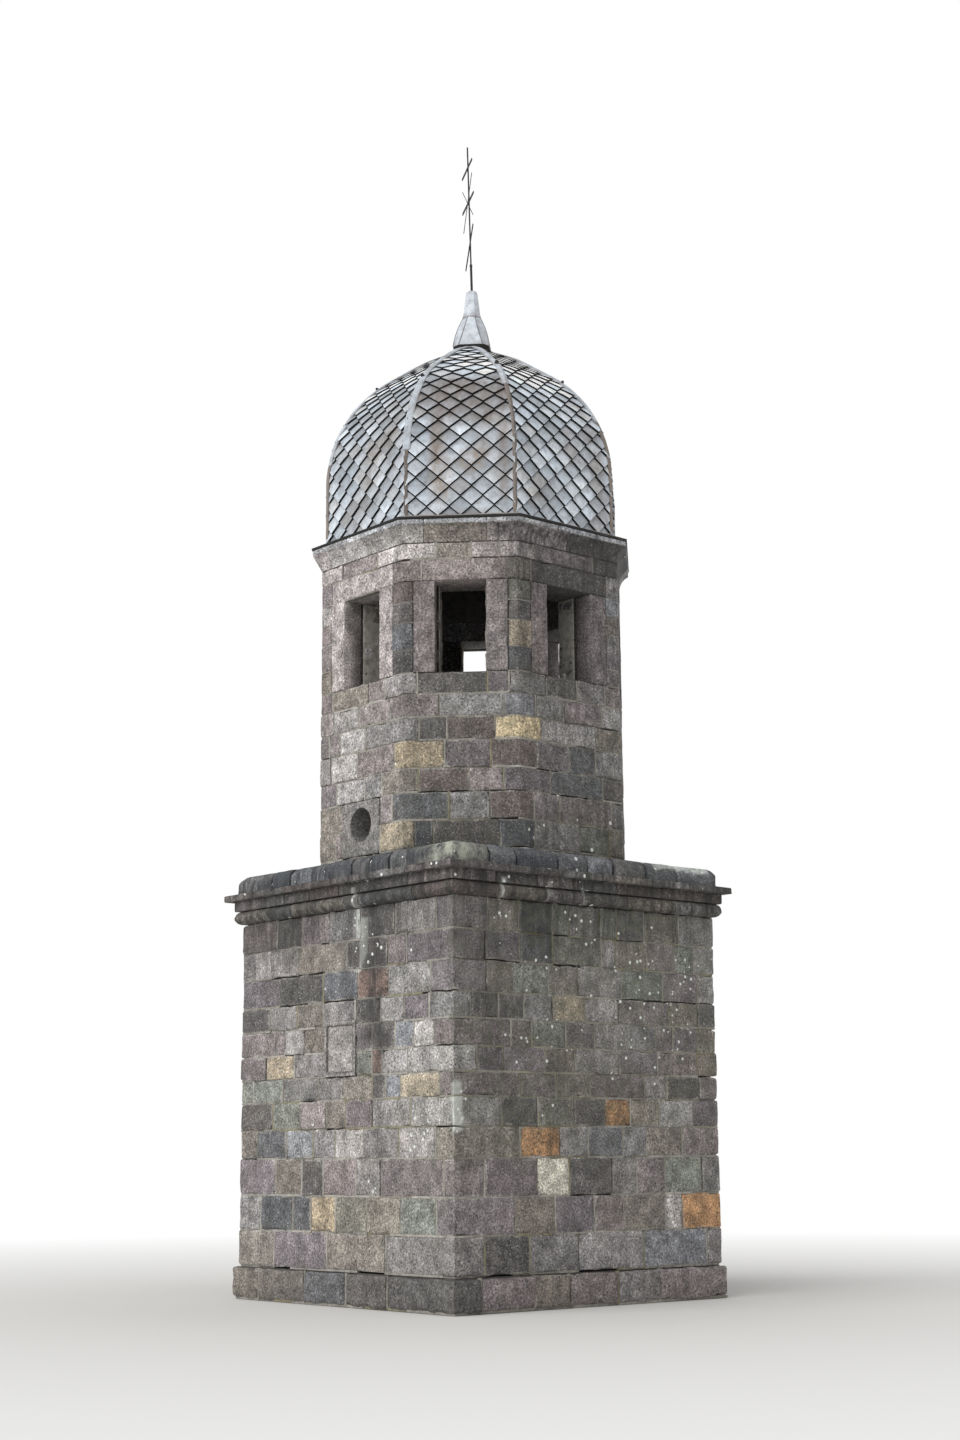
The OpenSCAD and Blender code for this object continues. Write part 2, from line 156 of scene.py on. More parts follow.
def finishPiece(shell, materials, nodes, merge=0.0, smoothAngle=38):
    mesh = bpy.data.meshes.new(shell.name)
    mesh.from_pydata([tuple(v) for v in shell.verts], [], shell.faces)
    for label, values in (("tint", shell.tints), ("weather", shell.weathers)):
        layer = mesh.color_attributes.new(label, "FLOAT_COLOR", "POINT")
        layer.data.foreach_set("color", [c for v in values for c in (*v[:3], 1.0)])
    for m in materials:
        mesh.materials.append(m)
    mesh.polygons.foreach_set("material_index", shell.slots)
    if merge:
        bm = bmesh.new()
        bm.from_mesh(mesh)
        bmesh.ops.remove_doubles(bm, verts=bm.verts, dist=merge)
        bmesh.ops.dissolve_degenerate(bm, edges=bm.edges, dist=merge)
        bm.to_mesh(mesh)
        bm.free()
    mesh.shade_smooth()
    mesh.set_sharp_from_angle(angle=math.radians(smoothAngle))
    piece = bpy.data.objects.new(shell.name, mesh)
    bpy.context.scene.collection.objects.link(piece)
    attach(piece, "root")
    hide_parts(*nodes)


def spread(start, end, border, step, keep=()):
    # positions along a stone: close together at its edges, even between, and exact at each arris
    stops = [start + border] + sorted(keep) + [end - border]
    inner = []
    for a, b in zip(stops, stops[1:]):
        count = max(1, round((b - a) / step))
        inner += [a + (b - a) * i / count for i in range(count)]
    return [start, start + border * 0.35] + inner + [end - border, end - border * 0.35, end]


def wobble(p, size, seed=0.0):
    return noise.noise(Vector((p[0] / size + seed, p[1] / size - seed, p[2] / size + 0.7 * seed)))


# a grid of columns in front, a row of pairs behind, and the narrow sides between them
def closeSlab(shell, front, back, slot=0):
    lastU, lastZ = len(front) - 1, len(front[0]) - 1
    for i in range(lastU):
        for j in range(lastZ):
            shell.face((front[i][j], front[i + 1][j], front[i + 1][j + 1], front[i][j + 1]), slot)
        shell.face((front[i][lastZ], front[i + 1][lastZ], back[i + 1][1], back[i][1]), slot)
        shell.face((front[i + 1][0], front[i][0], back[i][0], back[i + 1][0]), slot)
        shell.face((back[i + 1][0], back[i][0], back[i][1], back[i + 1][1]), slot)
    shell.face((*front[0], back[0][1], back[0][0]), slot)
    shell.face((*reversed(front[lastU]), back[lastU][0], back[lastU][1]), slot)


# one dressed stone: rounded edges, an uneven face and a closed back
def addStone(shell, place, u0, u1, z0, z1, look, tint, arrises=(), rng=random, weather=None, slot=0):
    gap = look["gap"] / 2
    u0, u1, z0, z1 = u0 + gap, u1 - gap, z0 + gap, z1 - gap
    roundness = look["round"] * rng.uniform(0.6, 1.4)
    seed = rng.uniform(0, 90)
    proud = rng.uniform(-1, 1) * look["proud"]
    tiltU, tiltZ = rng.uniform(-1, 1) * look["tilt"], rng.uniform(-1, 1) * look["tilt"]
    border = min(look["border"], (u1 - u0) / 3, (z1 - z0) / 3)
    smear, lime = look.get("smear", 0.0), hexColor(mortarMix[0])
    us = spread(u0, u1, border, look["step"], arrises)
    zs = spread(z0, z1, border, look["step"])
    lastU, lastZ = len(us) - 1, len(zs) - 1
    front = []
    for i, u in enumerate(us):
        edgeU = min(i, lastU - i)
        column = []
        for j, z in enumerate(zs):
            edgeZ = min(j, lastZ - j)
            edge = min(edgeU, edgeZ)
            drop = edgeDrops[edge] if edge < 3 else 0.0
            if edgeU < 3 and edgeZ < 3:
                drop = max(drop, edgeDrops[edge] + 0.5 * edgeDrops[max(edgeU, edgeZ)])
            flat = (u, z, seed)
            shiftU = wobble((seed, z, i > lastU / 2), look["wave"]) * look["ragged"] if edgeU < 3 else 0.0
            shiftZ = wobble((u, seed, j > lastZ / 2), look["wave"]) * look["ragged"] if edgeZ < 3 else 0.0
            d = proud + tiltU * (u - (u0 + u1) / 2) + tiltZ * (z - (z0 + z1) / 2)
            d += look["uneven"] * wobble(flat, look["wave"], seed)
            chip = max(0.0, wobble(flat, 0.06, seed + 5) - 0.25) * look["chip"] if edge < 2 else 0.0
            d -= roundness * drop + chip
            if any(abs(u - a) < 1e-6 for a in arrises):
                shiftU = 0.0
                d -= roundness * 0.5
            if edgeU and not u0 < u + shiftU < u1:
                shiftU = 0.0
            p = place(u + shiftU, d, z + shiftZ)
            share = clamp(smear * (0.35 + 1.8 * wobble(flat, 0.08, seed + 3)), 0.0, 0.9) if edge < 2 else 0.0
            mixed = [a + (b - a) * share for a, b in zip(tint, lime)]
            column.append(shell.vert(p, mixed, weather(p) if weather else (0, 0, 0)))
        front.append(column)
    # the back is painted at a third of the stone's colour, so the sides in the joints darken inwards: painted
    # shade
    shade = [0.3 * c for c in tint]
    back = [[shell.vert(place(u, -look["deep"], z), shade) for z in (z0, z1)] for u in us]
    closeSlab(shell, front, back, slot)


# a length with one section all along: outline runs from the back's foot round the front to its top
def addLength(shell, place, outline, u0, u1, look, tint, arrises=(), rng=random, weather=None, slot=0):
    gap = look["gap"] / 2
    u0, u1 = u0 + gap, u1 - gap
    us = spread(u0, u1, min(look["border"], (u1 - u0) / 3), look["step"], arrises)
    last = len(us) - 1
    seed = rng.uniform(0, 90)
    proud = rng.uniform(-1, 1) * look["proud"]
    columns = []
    for i, u in enumerate(us):
        edge = min(i, last - i)
        column = []
        for q, (d, z, loose) in enumerate(outline(u) if callable(outline) else outline):
            drop = edgeDrops[edge] * look["round"] if edge < 2 else 0.0
            flat = (u, q * 0.11, seed)
            uneven = look["uneven"] * wobble(flat, look["wave"], seed)
            chip = max(0.0, wobble(flat, 0.07, seed + 9) - 0.22) * look["chip"]
            out = d + loose * (proud + uneven - drop) - (chip if loose > 1 else 0.0)
            lift = -chip * 0.5 if loose > 1 else 0.0
            p = place(u, min(out, look.get("reach", 9.0)), z + lift + loose * 0.4 * uneven)
            column.append(shell.vert(p, tint, weather(p) if weather else (0, 0, 0)))
        columns.append(column)
    count = len(columns[0])
    for i in range(last):
        for q in range(count):
            r = (q + 1) % count
            shell.face((columns[i][q], columns[i + 1][q], columns[i + 1][r], columns[i][r]), slot)
    shell.face(tuple(columns[0]), slot)
    shell.face(tuple(reversed(columns[last])), slot)


# a prism on a plan of points that place() has put in the tower
def addPrism(shell, plan, z0, z1, tint, slot=0):
    low = [shell.vert(Vector((p.x, p.y, z0)), tint) for p in plan]
    high = [shell.vert(Vector((p.x, p.y, z1)), tint) for p in plan]
    count = len(plan)
    for i in range(count):
        j = (i + 1) % count
        shell.face((low[i], low[j], high[j], high[i]), slot)
    shell.face(tuple(reversed(low)), slot)
    shell.face(tuple(high), slot)


print("basics ready")


# One function adds a node with its settings and links. Among the inputs, a tuple that starts
# with an operation's name stands for a math node of its own, and hex text for a colour.
def addNode(tree, kind, settings=None, inputs=(), output=0):
    node = tree.nodes.new(kind)
    for key, value in (settings or {}).items():
        if key == "stops":
            ramp = node.color_ramp.elements
            while len(ramp) < len(value):
                ramp.new(0.5)
            for stop, (position, shade) in zip(ramp, value):
                stop.position = position
                stop.color = hexColor(shade) if isinstance(shade, str) else (shade, shade, shade, 1)
        else:
            setattr(node, key, value)
    for key, value in inputs.items() if isinstance(inputs, dict) else enumerate(inputs):
        if isinstance(value, tuple) and isinstance(value[0], str):
            value = addNode(tree, "ShaderNodeMath", {"operation": value[0]}, value[1:])
        if isinstance(value, bpy.types.NodeSocket):
            tree.links.new(value, node.inputs[key])
        elif isinstance(value, str) and node.inputs[key].type == "RGBA":
            node.inputs[key].default_value = hexColor(value)
        elif value is not None:
            node.inputs[key].default_value = value
    return node.outputs[output] if node.outputs else node


# A material in layers: noises are (size in mm, detail, roughness, stretch) by name, layers are
# (blend, factor, colour) over the painted or plain colour, bumps are (height, depth in mm, strength).
def makeMaterial(name, look, layersOf):
    material = bpy.data.materials.new(name)
    material.use_nodes = True
    tree = material.node_tree
    add = partial(addNode, tree)
    shader = tree.nodes["Principled BSDF"]
    shader.inputs["Roughness"].default_value = look["roughness"]
    shader.inputs["Metallic"].default_value = look.get("metallic", 0.0)
    place = add("ShaderNodeTexCoord", output="Object")
    noises = {"place": place}
    for label, (size, detail, rough, *stretch) in look["noises"].items():
        vector = add("ShaderNodeMapping", {}, {"Vector": place, "Scale": stretch[0]}) if stretch else place
        inputs = {"Vector": vector, "Scale": 1 / (size * mm), "Detail": detail, "Roughness": rough}
        noises[label] = add("ShaderNodeTexNoise", {}, inputs)
    color = look.get("color") or add("ShaderNodeAttribute", {"attribute_name": "tint"})
    painted = add("ShaderNodeAttribute", {"attribute_name": "weather"})
    marked = add("ShaderNodeSeparateColor", {}, [painted]).node.outputs
    layers, bumps = layersOf(add, noises, marked, look)
    for blend, factor, layer in layers:
        settings = {"data_type": "RGBA", "blend_type": blend}
        color = add("ShaderNodeMix", settings, {0: factor, 6: color, 7: layer}, 2)
    tree.links.new(color, shader.inputs["Base Color"])
    normal = None
    for height, depth, strength in bumps:
        inputs = {"Height": height, "Distance": depth * mm, "Strength": strength, "Normal": normal}
        normal = add("ShaderNodeBump", {}, inputs)
    tree.links.new(normal, shader.inputs["Normal"])
    return material


# andesite, a volcanic stone: matt, speckled with pale and dark crystals, weathered brown and grey
def stoneLayers(add, noises, marked, look):
    patch = add("ShaderNodeValToRGB", {"stops": [(0.30, 0.5), (0.48, 0.94), (0.66, 1.5)]}, [noises["patch"]])
    speck = add("ShaderNodeValToRGB", {"stops": look["speckStops"]}, [noises["grain"]])
    flecks = add("ShaderNodeValToRGB", {"stops": [(0.62, 0.0), (0.7, look["flecks"])]}, [noises["crystal"]])
    pits = add("ShaderNodeValToRGB", {"stops": [(0.31, 0.85), (0.40, 0.0)]}, [noises["pits"]])
    warm = add("ShaderNodeValToRGB", {"stops": [(0.45, 0.0), (0.75, look["stain"])]}, [noises["warm"]])
    layers = [("MULTIPLY", 1.0, patch), ("MULTIPLY", 1.0, speck), ("MIX", flecks, look["fleckColor"]),
              ("MIX", pits, look["pitColor"]), ("MIX", warm, look["stainColor"])]
    if "color" not in look:
        running = add("ShaderNodeValToRGB", {"stops": [(0.3, 0.3), (0.62, 1.0)]}, [noises["streak"]])
        clumps = add("ShaderNodeValToRGB", {"stops": [(0.4, 0.0), (0.62, 1.0)]}, [noises["cloud"]])
        inputs = {"Vector": noises["place"], "Scale": 1 / (look["spots"] * mm)}
        cells = add("ShaderNodeTexVoronoi", {}, inputs).node.outputs
        chance, size, _ = add("ShaderNodeSeparateColor", {}, [cells["Color"]]).node.outputs
        edge = ("ADD", cells["Distance"], ("MULTIPLY", noises["grain"], 0.3))
        edge = ("ADD", edge, ("MULTIPLY", size, 0.27))
        rings = [(0.24, 0.4), (0.3, 1.0), (0.45, 1.0), (0.5, 0.0)]  # older ones are paler in the middle
        disc = add("ShaderNodeValToRGB", {"stops": rings}, [edge])
        crusts = ("MULTIPLY", disc, ("LESS_THAN", chance, ("MULTIPLY", marked[2], ("ADD", 0.5, clumps))))
        speckled = ("ADD", 0.55, ("MULTIPLY", noises["grain"], 0.9))
        smear = ("MULTIPLY", ("MULTIPLY", ("SUBTRACT", marked[2], 1.0), running), speckled)
        # soot and painted shade in one dark colour, then moss, then lichen
        layers += [("MIX", ("MULTIPLY", marked[0], running), look["sootColor"]),
                   ("MIX", ("MULTIPLY", marked[1], clumps), look["mossColor"]),
                   ("MIX", ("MAXIMUM", crusts, smear), look["lichenColor"])]
    return layers, [(noises["tooling"], look["toolDepth"], 1.0), (noises["grain"], look["grainDepth"], 0.9)]


stoneLook = {
    "roughness": 0.88, "flecks": 0.75, "fleckColor": "bdbab5", "pitColor": "2c2a29", "stain": 0.16,
    "stainColor": "7d7468", "sootColor": "2a2827", "mossColor": "666a58", "lichenColor": "d9ddd6",
    "spots": 62, "toolDepth": 7, "grainDepth": 6,
    "speckStops": [(0.34, 0.24), (0.43, 0.68), (0.54, 1.06), (0.65, 2.1)],
    "noises": {  # sizes in mm; the crystals are drawn about five times coarser than life so that they show
        "patch": (130, 5, 0.62), "grain": (19, 4, 0.75), "crystal": (15, 2, 0.5), "pits": (19, 3, 0.6),
        "warm": (330, 4, 0.6), "streak": (60, 5, 0.6, (1.0, 1.0, 0.16)), "cloud": (110, 5, 0.65),
        "tooling": (40, 4, 0.6),
    },
}
ashlarStone = makeMaterial("andesiteAshlar", stoneLook, stoneLayers)
copingLook = {
    **stoneLook, "sootColor": "2c2f35", "mossColor": "b3b7a6", "stainColor": "3c3f45", "stain": 0.5,
    "toolDepth": 9,
}
copingStone = makeMaterial("andesiteCoping", copingLook, stoneLayers)
rubbleStone = makeMaterial("roughRubble", {**stoneLook, "toolDepth": 16, "grainDepth": 8}, stoneLayers)
floorStone = makeMaterial("roughFloorStone", {**stoneLook, "color": "6f6a64"}, stoneLayers)


# lime mortar: pale, sandy, grey and yellowed in places
def mortarLayers(add, noises, marked, look):
    shade = add("ShaderNodeValToRGB", {"stops": [(0.3, 0.5), (0.5, 0.98), (0.7, 1.3)]}, [noises["patch"]])
    moss = add("ShaderNodeValToRGB", {"stops": [(0.45, 0.0), (0.6, 1.0)]}, [noises["clump"]])
    # soot and painted shade from the first painted value, moss from the second
    layers = [("MULTIPLY", 1.0, shade), ("MIX", ("MULTIPLY", marked[0], 0.65), look["sootColor"]),
              ("MIX", ("MULTIPLY", marked[1], moss), look["mossColor"])]
    return layers, [(noises["sand"], look["sandDepth"], 1.0)]


mortarLook = {
    "roughness": 0.94, "sootColor": "33302e", "mossColor": "74723f", "sandDepth": 5,
    # sand 12 mm, coarser than life so that it shows
    "noises": {"patch": (60, 5, 0.7), "clump": (240, 5, 0.7), "sand": (12, 3, 0.7)},
}
limeMortar = makeMaterial("limeMortar", mortarLook, mortarLayers)


# old zinc sheet: dull blue-grey with a soft sheen, brown and grey stains where water runs
def zincLayers(add, noises, marked, look):
    cloud = add("ShaderNodeValToRGB", {"stops": [(0.3, 0.66), (0.5, 0.98), (0.72, 1.22)]}, [noises["patch"]])
    smear = add("ShaderNodeValToRGB", {"stops": [(0.26, 0.42), (0.6, 1.0)]}, [noises["run"]])
    bloom = add("ShaderNodeValToRGB", {"stops": [(0.4, 0.0), (0.6, 1.0)]}, [noises["bloom"]])
    specks = add("ShaderNodeValToRGB", {"stops": [(0.62, 0.0), (0.72, look["specks"])]}, [noises["speck"]])
    layers = [("MULTIPLY", 1.0, cloud), ("MIX", ("MULTIPLY", marked[0], smear), look["dirtColor"]),
              ("MIX", ("MULTIPLY", marked[1], bloom), look["rustColor"]), ("MIX", specks, look["dirtColor"])]
    return layers, [(noises["dent"], look["dentDepth"], 0.7)]


zincLook = {
    "roughness": 0.55, "metallic": 0.2, "dirtColor": "70655f", "rustColor": "8a765c", "specks": 0.5,
    "dentDepth": 7,
    "noises": {
        "patch": (75, 5, 0.6), "run": (45, 5, 0.65, (1.0, 1.0, 0.22)), "bloom": (42, 5, 0.7),
        "speck": (22, 3, 0.6), "dent": (85, 2, 0.5),
    },
}
zincShingle = makeMaterial("weatheredZincShingle", zincLook, zincLayers)
zincSheet = makeMaterial("weatheredZincSheet", {**zincLook, "specks": 0.25, "dentDepth": 4}, zincLayers)
# a near-black sheet for the gaps between shingles, under the flashing's edge and inside the cap's skirt:
# painted shadow
underlayLook = {
    **zincLook, "color": "191816", "dirtColor": "100f0d", "rustColor": "191816", "metallic": 0.0,
    "roughness": 0.85,
}
zincUnderlay = makeMaterial("shadowBlackZincUnderlay", underlayLook, zincLayers)


# wrought iron, painted dark long ago: blue-black with brown rust
def ironLayers(add, noises, marked, look):
    rust = add("ShaderNodeValToRGB", {"stops": [(0.46, 0.0), (0.64, 0.8)]}, [noises["rust"]])
    return [("MIX", rust, look["rustColor"])], [(noises["pit"], look["pitDepth"], 0.8)]


ironLook = {
    "roughness": 0.7, "metallic": 0.2, "color": "191921", "rustColor": "35292a", "pitDepth": 1,
    "noises": {"rust": (60, 5, 0.65), "pit": (8, 3, 0.6)},
}
wroughtIron = makeMaterial("rustedWroughtIron", ironLook, ironLayers)
masonry = [ashlarStone, limeMortar]
print("materials ready")


# where water, soot and lichen have marked the tower
marks = {
    "streaks": [  # face turn, u, top, foot, width, depth of colour
        (180, 0.50, 3.62, 2.55, 0.17, 1.10), (180, 0.56, 2.7, 1.35, 0.10, 0.60),
        (180, 0.10, 3.6, 3.25, 0.20, 0.35), (180, 0.92, 3.62, 3.3, 0.12, 0.4),
        (270, -0.55, 3.62, 3.2, 0.35, 0.50), (270, 0.25, 3.62, 3.3, 0.25, 0.40),
    ],
    "spots": [  # face turn, u, height, radius, depth of colour
        (180, 0.355, 2.405, 0.105, 0.95), (180, 0.60, 2.385, 0.12, 0.95),
    ],
    "lichens": [  # face turn, u, height, radius, density
        (270, 1.21, 2.98, 0.24, 1.0), (270, 1.25, 2.45, 0.24, 0.8), (270, 0.62, 3.10, 0.22, 0.8),
        (270, 0.66, 2.74, 0.2, 0.6), (270, 0.7, 2.7, 0.7, 0.35), (270, 1.2, 2.4, 0.4, 0.3),
        (270, -0.7, 2.85, 0.35, 0.4), (180, 0.2, 3.2, 0.5, 0.25), (180, 0.9, 3.1, 0.5, 0.18),
        (180, 0.3, 1.1, 0.45, 0.3), (180, 1.12, 1.6, 0.28, 0.75), (180, -0.38, 1.6, 0.15, 0.5),
        (270, 0.3, 2.1, 0.4, 0.15), (270, -0.1, 3.4, 0.3, 0.5), (270, -1.0, 3.42, 0.2, 0.5),
        (180, 0.1, 3.42, 0.25, 0.6), (180, 0.42, 3.2, 0.3, 0.6), (180, -0.1, 2.9, 0.5, 0.3),
        (270, -0.9, 3.07, 0.3, 0.5), (270, -0.5, 2.4, 0.8, 0.2),
    ],
    "whites": [  # pale runs: face turn, u, top, foot, width, depth
        (270, -1.63, 1.98, 1.60, 0.10, 1.0), (180, 1.65, 1.98, 1.62, 0.08, 1.0),
        (180, 0.26, 3.76, 3.05, 0.05, 0.75), (180, 0.33, 3.5, 3.2, 0.12, 0.35),
        (270, -1.10, 3.75, 3.64, 0.05, 0.7), (270, -0.55, 3.76, 3.66, 0.05, 0.5),
        (270, -0.10, 3.72, 3.62, 0.05, 0.5),
    ],
}


def faceOf(p, turns):
    best, bestOut = turns[0], -9.0
    for turn in turns:
        t = math.radians(turn)
        out = p.x * math.cos(t) + p.y * math.sin(t)
        if out > bestOut:
            best, bestOut = turn, out
    t = math.radians(best)
    return best, -p.x * math.sin(t) + p.y * math.cos(t)


def whiteAt(p, turn, u):
    most = 0.0
    for face, at, top, foot, width, depth in marks["whites"]:
        if face == turn and foot - 0.05 < p.z < top + 0.05:
            off = (u - at + 0.02 * wobble(p, 0.15, 6)) / width
            most = max(most, depth * math.exp(-off * off * 2))
    return most


def baseWeather(p):
    turn, u = faceOf(p, squareRing["turns"])
    sootAndShade = moss = lichen = 0.0
    under = levels["wallTop"] - p.z
    broad = 0.5 + 0.5 * wobble(p, 0.45, 3)
    # the wall darkens towards its top under the cornice, the left face most
    sootAndShade += max(0.0, (0.66 if turn == leftTurn else 0.5) - under * 0.8) * (0.45 + broad) + 0.07 * (p.z > 1.4)
    sootAndShade += max(0.0, wobble((p.x, p.y, p.z * 0.3), 0.35, 8) - 0.15) * 0.5
    for face, at, top, foot, width, depth in marks["streaks"]:
        if face == turn and foot - 0.3 < p.z < top + 0.1:
            off = (u - at + 0.04 * wobble(p, 0.3, 2)) / width
            sootAndShade += depth * math.exp(-off * off * 2.5) * clamp((p.z - foot + 0.3) / 0.5)
    for face, at, high, radius, depth in marks["spots"]:
        if face == turn:
            far = math.hypot(u - at, p.z - high) / radius
            sootAndShade += depth * clamp(1.7 - 1.3 * far)
    if turn == frontTurn:
        moss = (0.28 + 0.6 * max(0.0, broad - 0.4)) * (0.12 + 0.88 * clamp((p.z - 1.0) / 0.8))
        # the front face is darker above 1.2 m
        sootAndShade += 0.27 if p.z > 1.2 else 0.02
    elif turn == leftTurn:
        moss = 0.25 * max(0.0, broad - 0.5) + 0.15 * max(0.0, u - 0.6)
    else:
        moss = 0.3 * broad
        sootAndShade += 0.10 * broad
        lichen = 0.18 * broad
    sootAndShade += max(0.0, 0.12 - (p.z - levels["footingTop"]) * 0.4)
    for face, at, high, radius, depth in marks["lichens"]:
        if face == turn:
            far = math.hypot(u - at, p.z - high) / radius
            lichen = max(lichen, depth * max(0.0, 1.15 - far))
    white = whiteAt(p, turn, u)
    return (min(0.92, sootAndShade) * (1 - white), min(0.9, moss), 1 + white if white > 0.15 else min(0.95, lichen))


def belfryWeatherAndShade(p):
    turn = faceOf(p, belfryRing["turns"])[0]
    broad = 0.5 + 0.5 * wobble(p, 0.4, 5)
    sootAndShade = 0.30 * max(0.0, wobble((p.x, p.y, p.z * 0.35), 0.3, 4) + 0.1)
    # painted shade: each face is darker by how far it is turned from the light
    shaded = {180: 0.0, 225: 0.40, 270: 0.56, 315: 0.5, 0: 0.2, 45: 0.15, 90: 0.2, 135: 0.1}[turn]
    sootAndShade += shaded * (0.6 + 0.6 * broad)
    low = max(0.0, 0.75 - (p.z - 4.05) * 1.6)
    sootAndShade += low * (0.15 if turn == leftTurn else 0.4) * broad
    moss = (0.25 * broad + 0.35 * low * broad) * clamp((6.1 - p.z) / 0.5)
    lichen = 0.4 * max(0.0, wobble(p, 0.4, 21) - 0.2)
    if turn in (frontTurn, 315):
        lichen += 0.4 * max(0.0, 0.6 - (p.z - 4.1))
    return (min(0.9, sootAndShade), min(0.8, moss), min(0.6, lichen))


# the stones' colours: most are grey and purplish, a few are odd
palette = {
    "grey": "8b8887", "purple": "847b7c", "brown": "867f77", "blue": "85868a", "dark": "605d5c",
    "olive": "7d7b72", "light": "a8a4a2", "rose": "8a8180", "tan": "a09482", "ochre": "a69680",
    "orange": "ae8660", "cream": "cdc8bb", "yellow": "e2cfa8", "green": "81847c", "slate": "626366",
    "rust": "77655d", "plum": "777073", "umber": "665c5a", "buff": "aa9c84", "drip": "acaeb1",
    "ink": "494c53", "blush": "a8a09f",
}
plainMix = ["grey"] * 8 + ["purple"] * 4 + ["plum"] * 2 + ["brown"] * 6 + ["dark"] * 4
plainMix += ["blue", "green", "slate", "rose", "rose", "light"]
paleMix = ["grey"] * 3 + ["rose"] * 3 + ["light"] * 6 + ["brown"] * 2
rareMix = ["tan", "ochre", "cream", "orange"]
mortarMix = ["a09c95", "97938c", "aaa59d", "8e8a81", "87846f", "8e8570"]
# the plain cores behind the stones; most are dark as painted shade where they show in open joints and cracks,
# and the piers' core is nearly black as painted shade for the dark inside of the openings
coreShadeTint, footingShadeCore, copingShadeCore = (hexColor(code)[:3] for code in ("504d4b", "595755", "555250"))
seatTint, pierShadeCore = (hexColor(code)[:3] for code in ("817c73", "302f2d"))


def stoneTint(kind, rng, spreadBy=0.22):
    r, g, b, _ = hexColor(palette[kind])
    level = 1 + rng.uniform(-1, 1) * spreadBy
    return (r * level * (1 + rng.uniform(-0.02, 0.02)), g * level, b * level * (1 + rng.uniform(-0.02, 0.02)))


def mortarTint(p, rng):
    yellowed = wobble(p, 0.6, 31) > 0.3
    return hexColor(rng.choice(mortarMix[3:] if yellowed else mortarMix[:4]))[:3]


def oddKind(odds, c, k, u):
    # the colour that a stone was given, or none
    near = (kind for (row, face, at), kind in odds.items() if (row, face) == (c, k) and abs(u - at) < 0.03)
    return next(near, None)


def randomJoints(half, rng, ranges):
    # joints on a face out of view; the ranges are for its first, its last and its other stones
    at = -half + rng.uniform(*ranges[0])
    end = half - rng.uniform(*ranges[1])
    low, high = ranges[2]
    joints = [at]
    while end - at > high:
        at += rng.uniform(low, high)
        if end - at < low * 0.7:
            at = end - low * rng.uniform(0.8, 1.1)
        joints.append(at)
    return joints


def stonesRound(ring, joints):
    # every stone of one course: its face, and its start, end and arrises measured on that face
    starts = [(k, u) for k in range(ring["count"]) for u in joints[k]]
    for (k, u), (nextK, end) in zip(starts, starts[1:] + starts[:1]):
        q = k
        while q != nextK:
            end += ring["halves"][q]
            q = (q + 1) % ring["count"]
            end += ring["halves"][q]
        yield k, u, end, arrisesBetween(ring, k, u, end)


mortarBar = {
    "gap": 0.0, "round": 2 * mm, "proud": 1 * mm, "tilt": 0.0, "border": 4 * mm, "step": 0.14, "wave": 0.09,
    "ragged": 0.0, "uneven": 3 * mm, "chip": 0.0, "deep": 0.05,
}


def addMortar(shell, place, sunk, u0, u1, z0, z1, middle, rng, weather, arrises=()):
    addStone(shell, movedOut(place, sunk), u0, u1, z0, z1, mortarBar, mortarTint(middle, rng),
             arrises, rng, weather, 1)


# one ring of masonry: courses of stones with the mortar between them
def addCourses(shells, ring, heights, joints, look, kindOf, rng, weather,
               skip=None, openJoints=(), mortarAt=-4 * mm):
    openEnds = look.get("openEnds", ())
    for c, (z0, z1) in enumerate(zip(heights, heights[1:])):
        for k, u, end, arrises in stonesRound(ring, joints[c]):
            if skip and skip(c, k, u):
                continue
            place, shell = onFace(ring, k), shells[k]
            addStone(shell, place, u, end, z0, z1, look, stoneTint(kindOf(c, k, u, end), rng),
                     arrises, rng, weather)
            if not any((f, row) == (k, c) and abs(u - at) < 0.05 for f, row, at in openEnds):
                wide = look["gap"] * 0.8
                sunk = mortarAt - rng.choice((0, 0, 0, 4, 12)) * mm
                addMortar(shell, place, sunk, u - wide, u + wide, z0, z1,
                          place(u, 0, (z0 + z1) / 2), rng, weather)
            at = u
            while at < end - 1e-6:
                stop = min(end, at + rng.uniform(0.25, 0.5))
                if end - stop < 0.12:
                    stop = end
                closed = not any((f, row) == (k, c) and at < b and stop > a for f, row, a, b in openJoints)
                if closed and rng.random() > look.get("lost", 0.02):
                    tall = look["gap"] * 0.8
                    sunk = mortarAt - rng.choice((0, 0, 3, 6, 14)) * mm
                    addMortar(shell, place, sunk, at, stop, z0 - tall, z0 + tall,
                              place((at + stop) / 2, 0, z0), rng, weather, arrisesBetween(ring, k, at, stop))
                at = stop


# the plain core behind the stones, between two depths
def addBacking(shell, ring, k, outer, inner, z0, z1, tint, span=None):
    a, b = span or (-ring["halves"][k], ring["halves"][k])
    plan = [placeOnRing(ring, k, u, -d, 0) for u, d in ((a, inner), (a, outer), (b, outer), (b, inner))]
    addPrism(shell, plan, z0, z1, tint, 1)


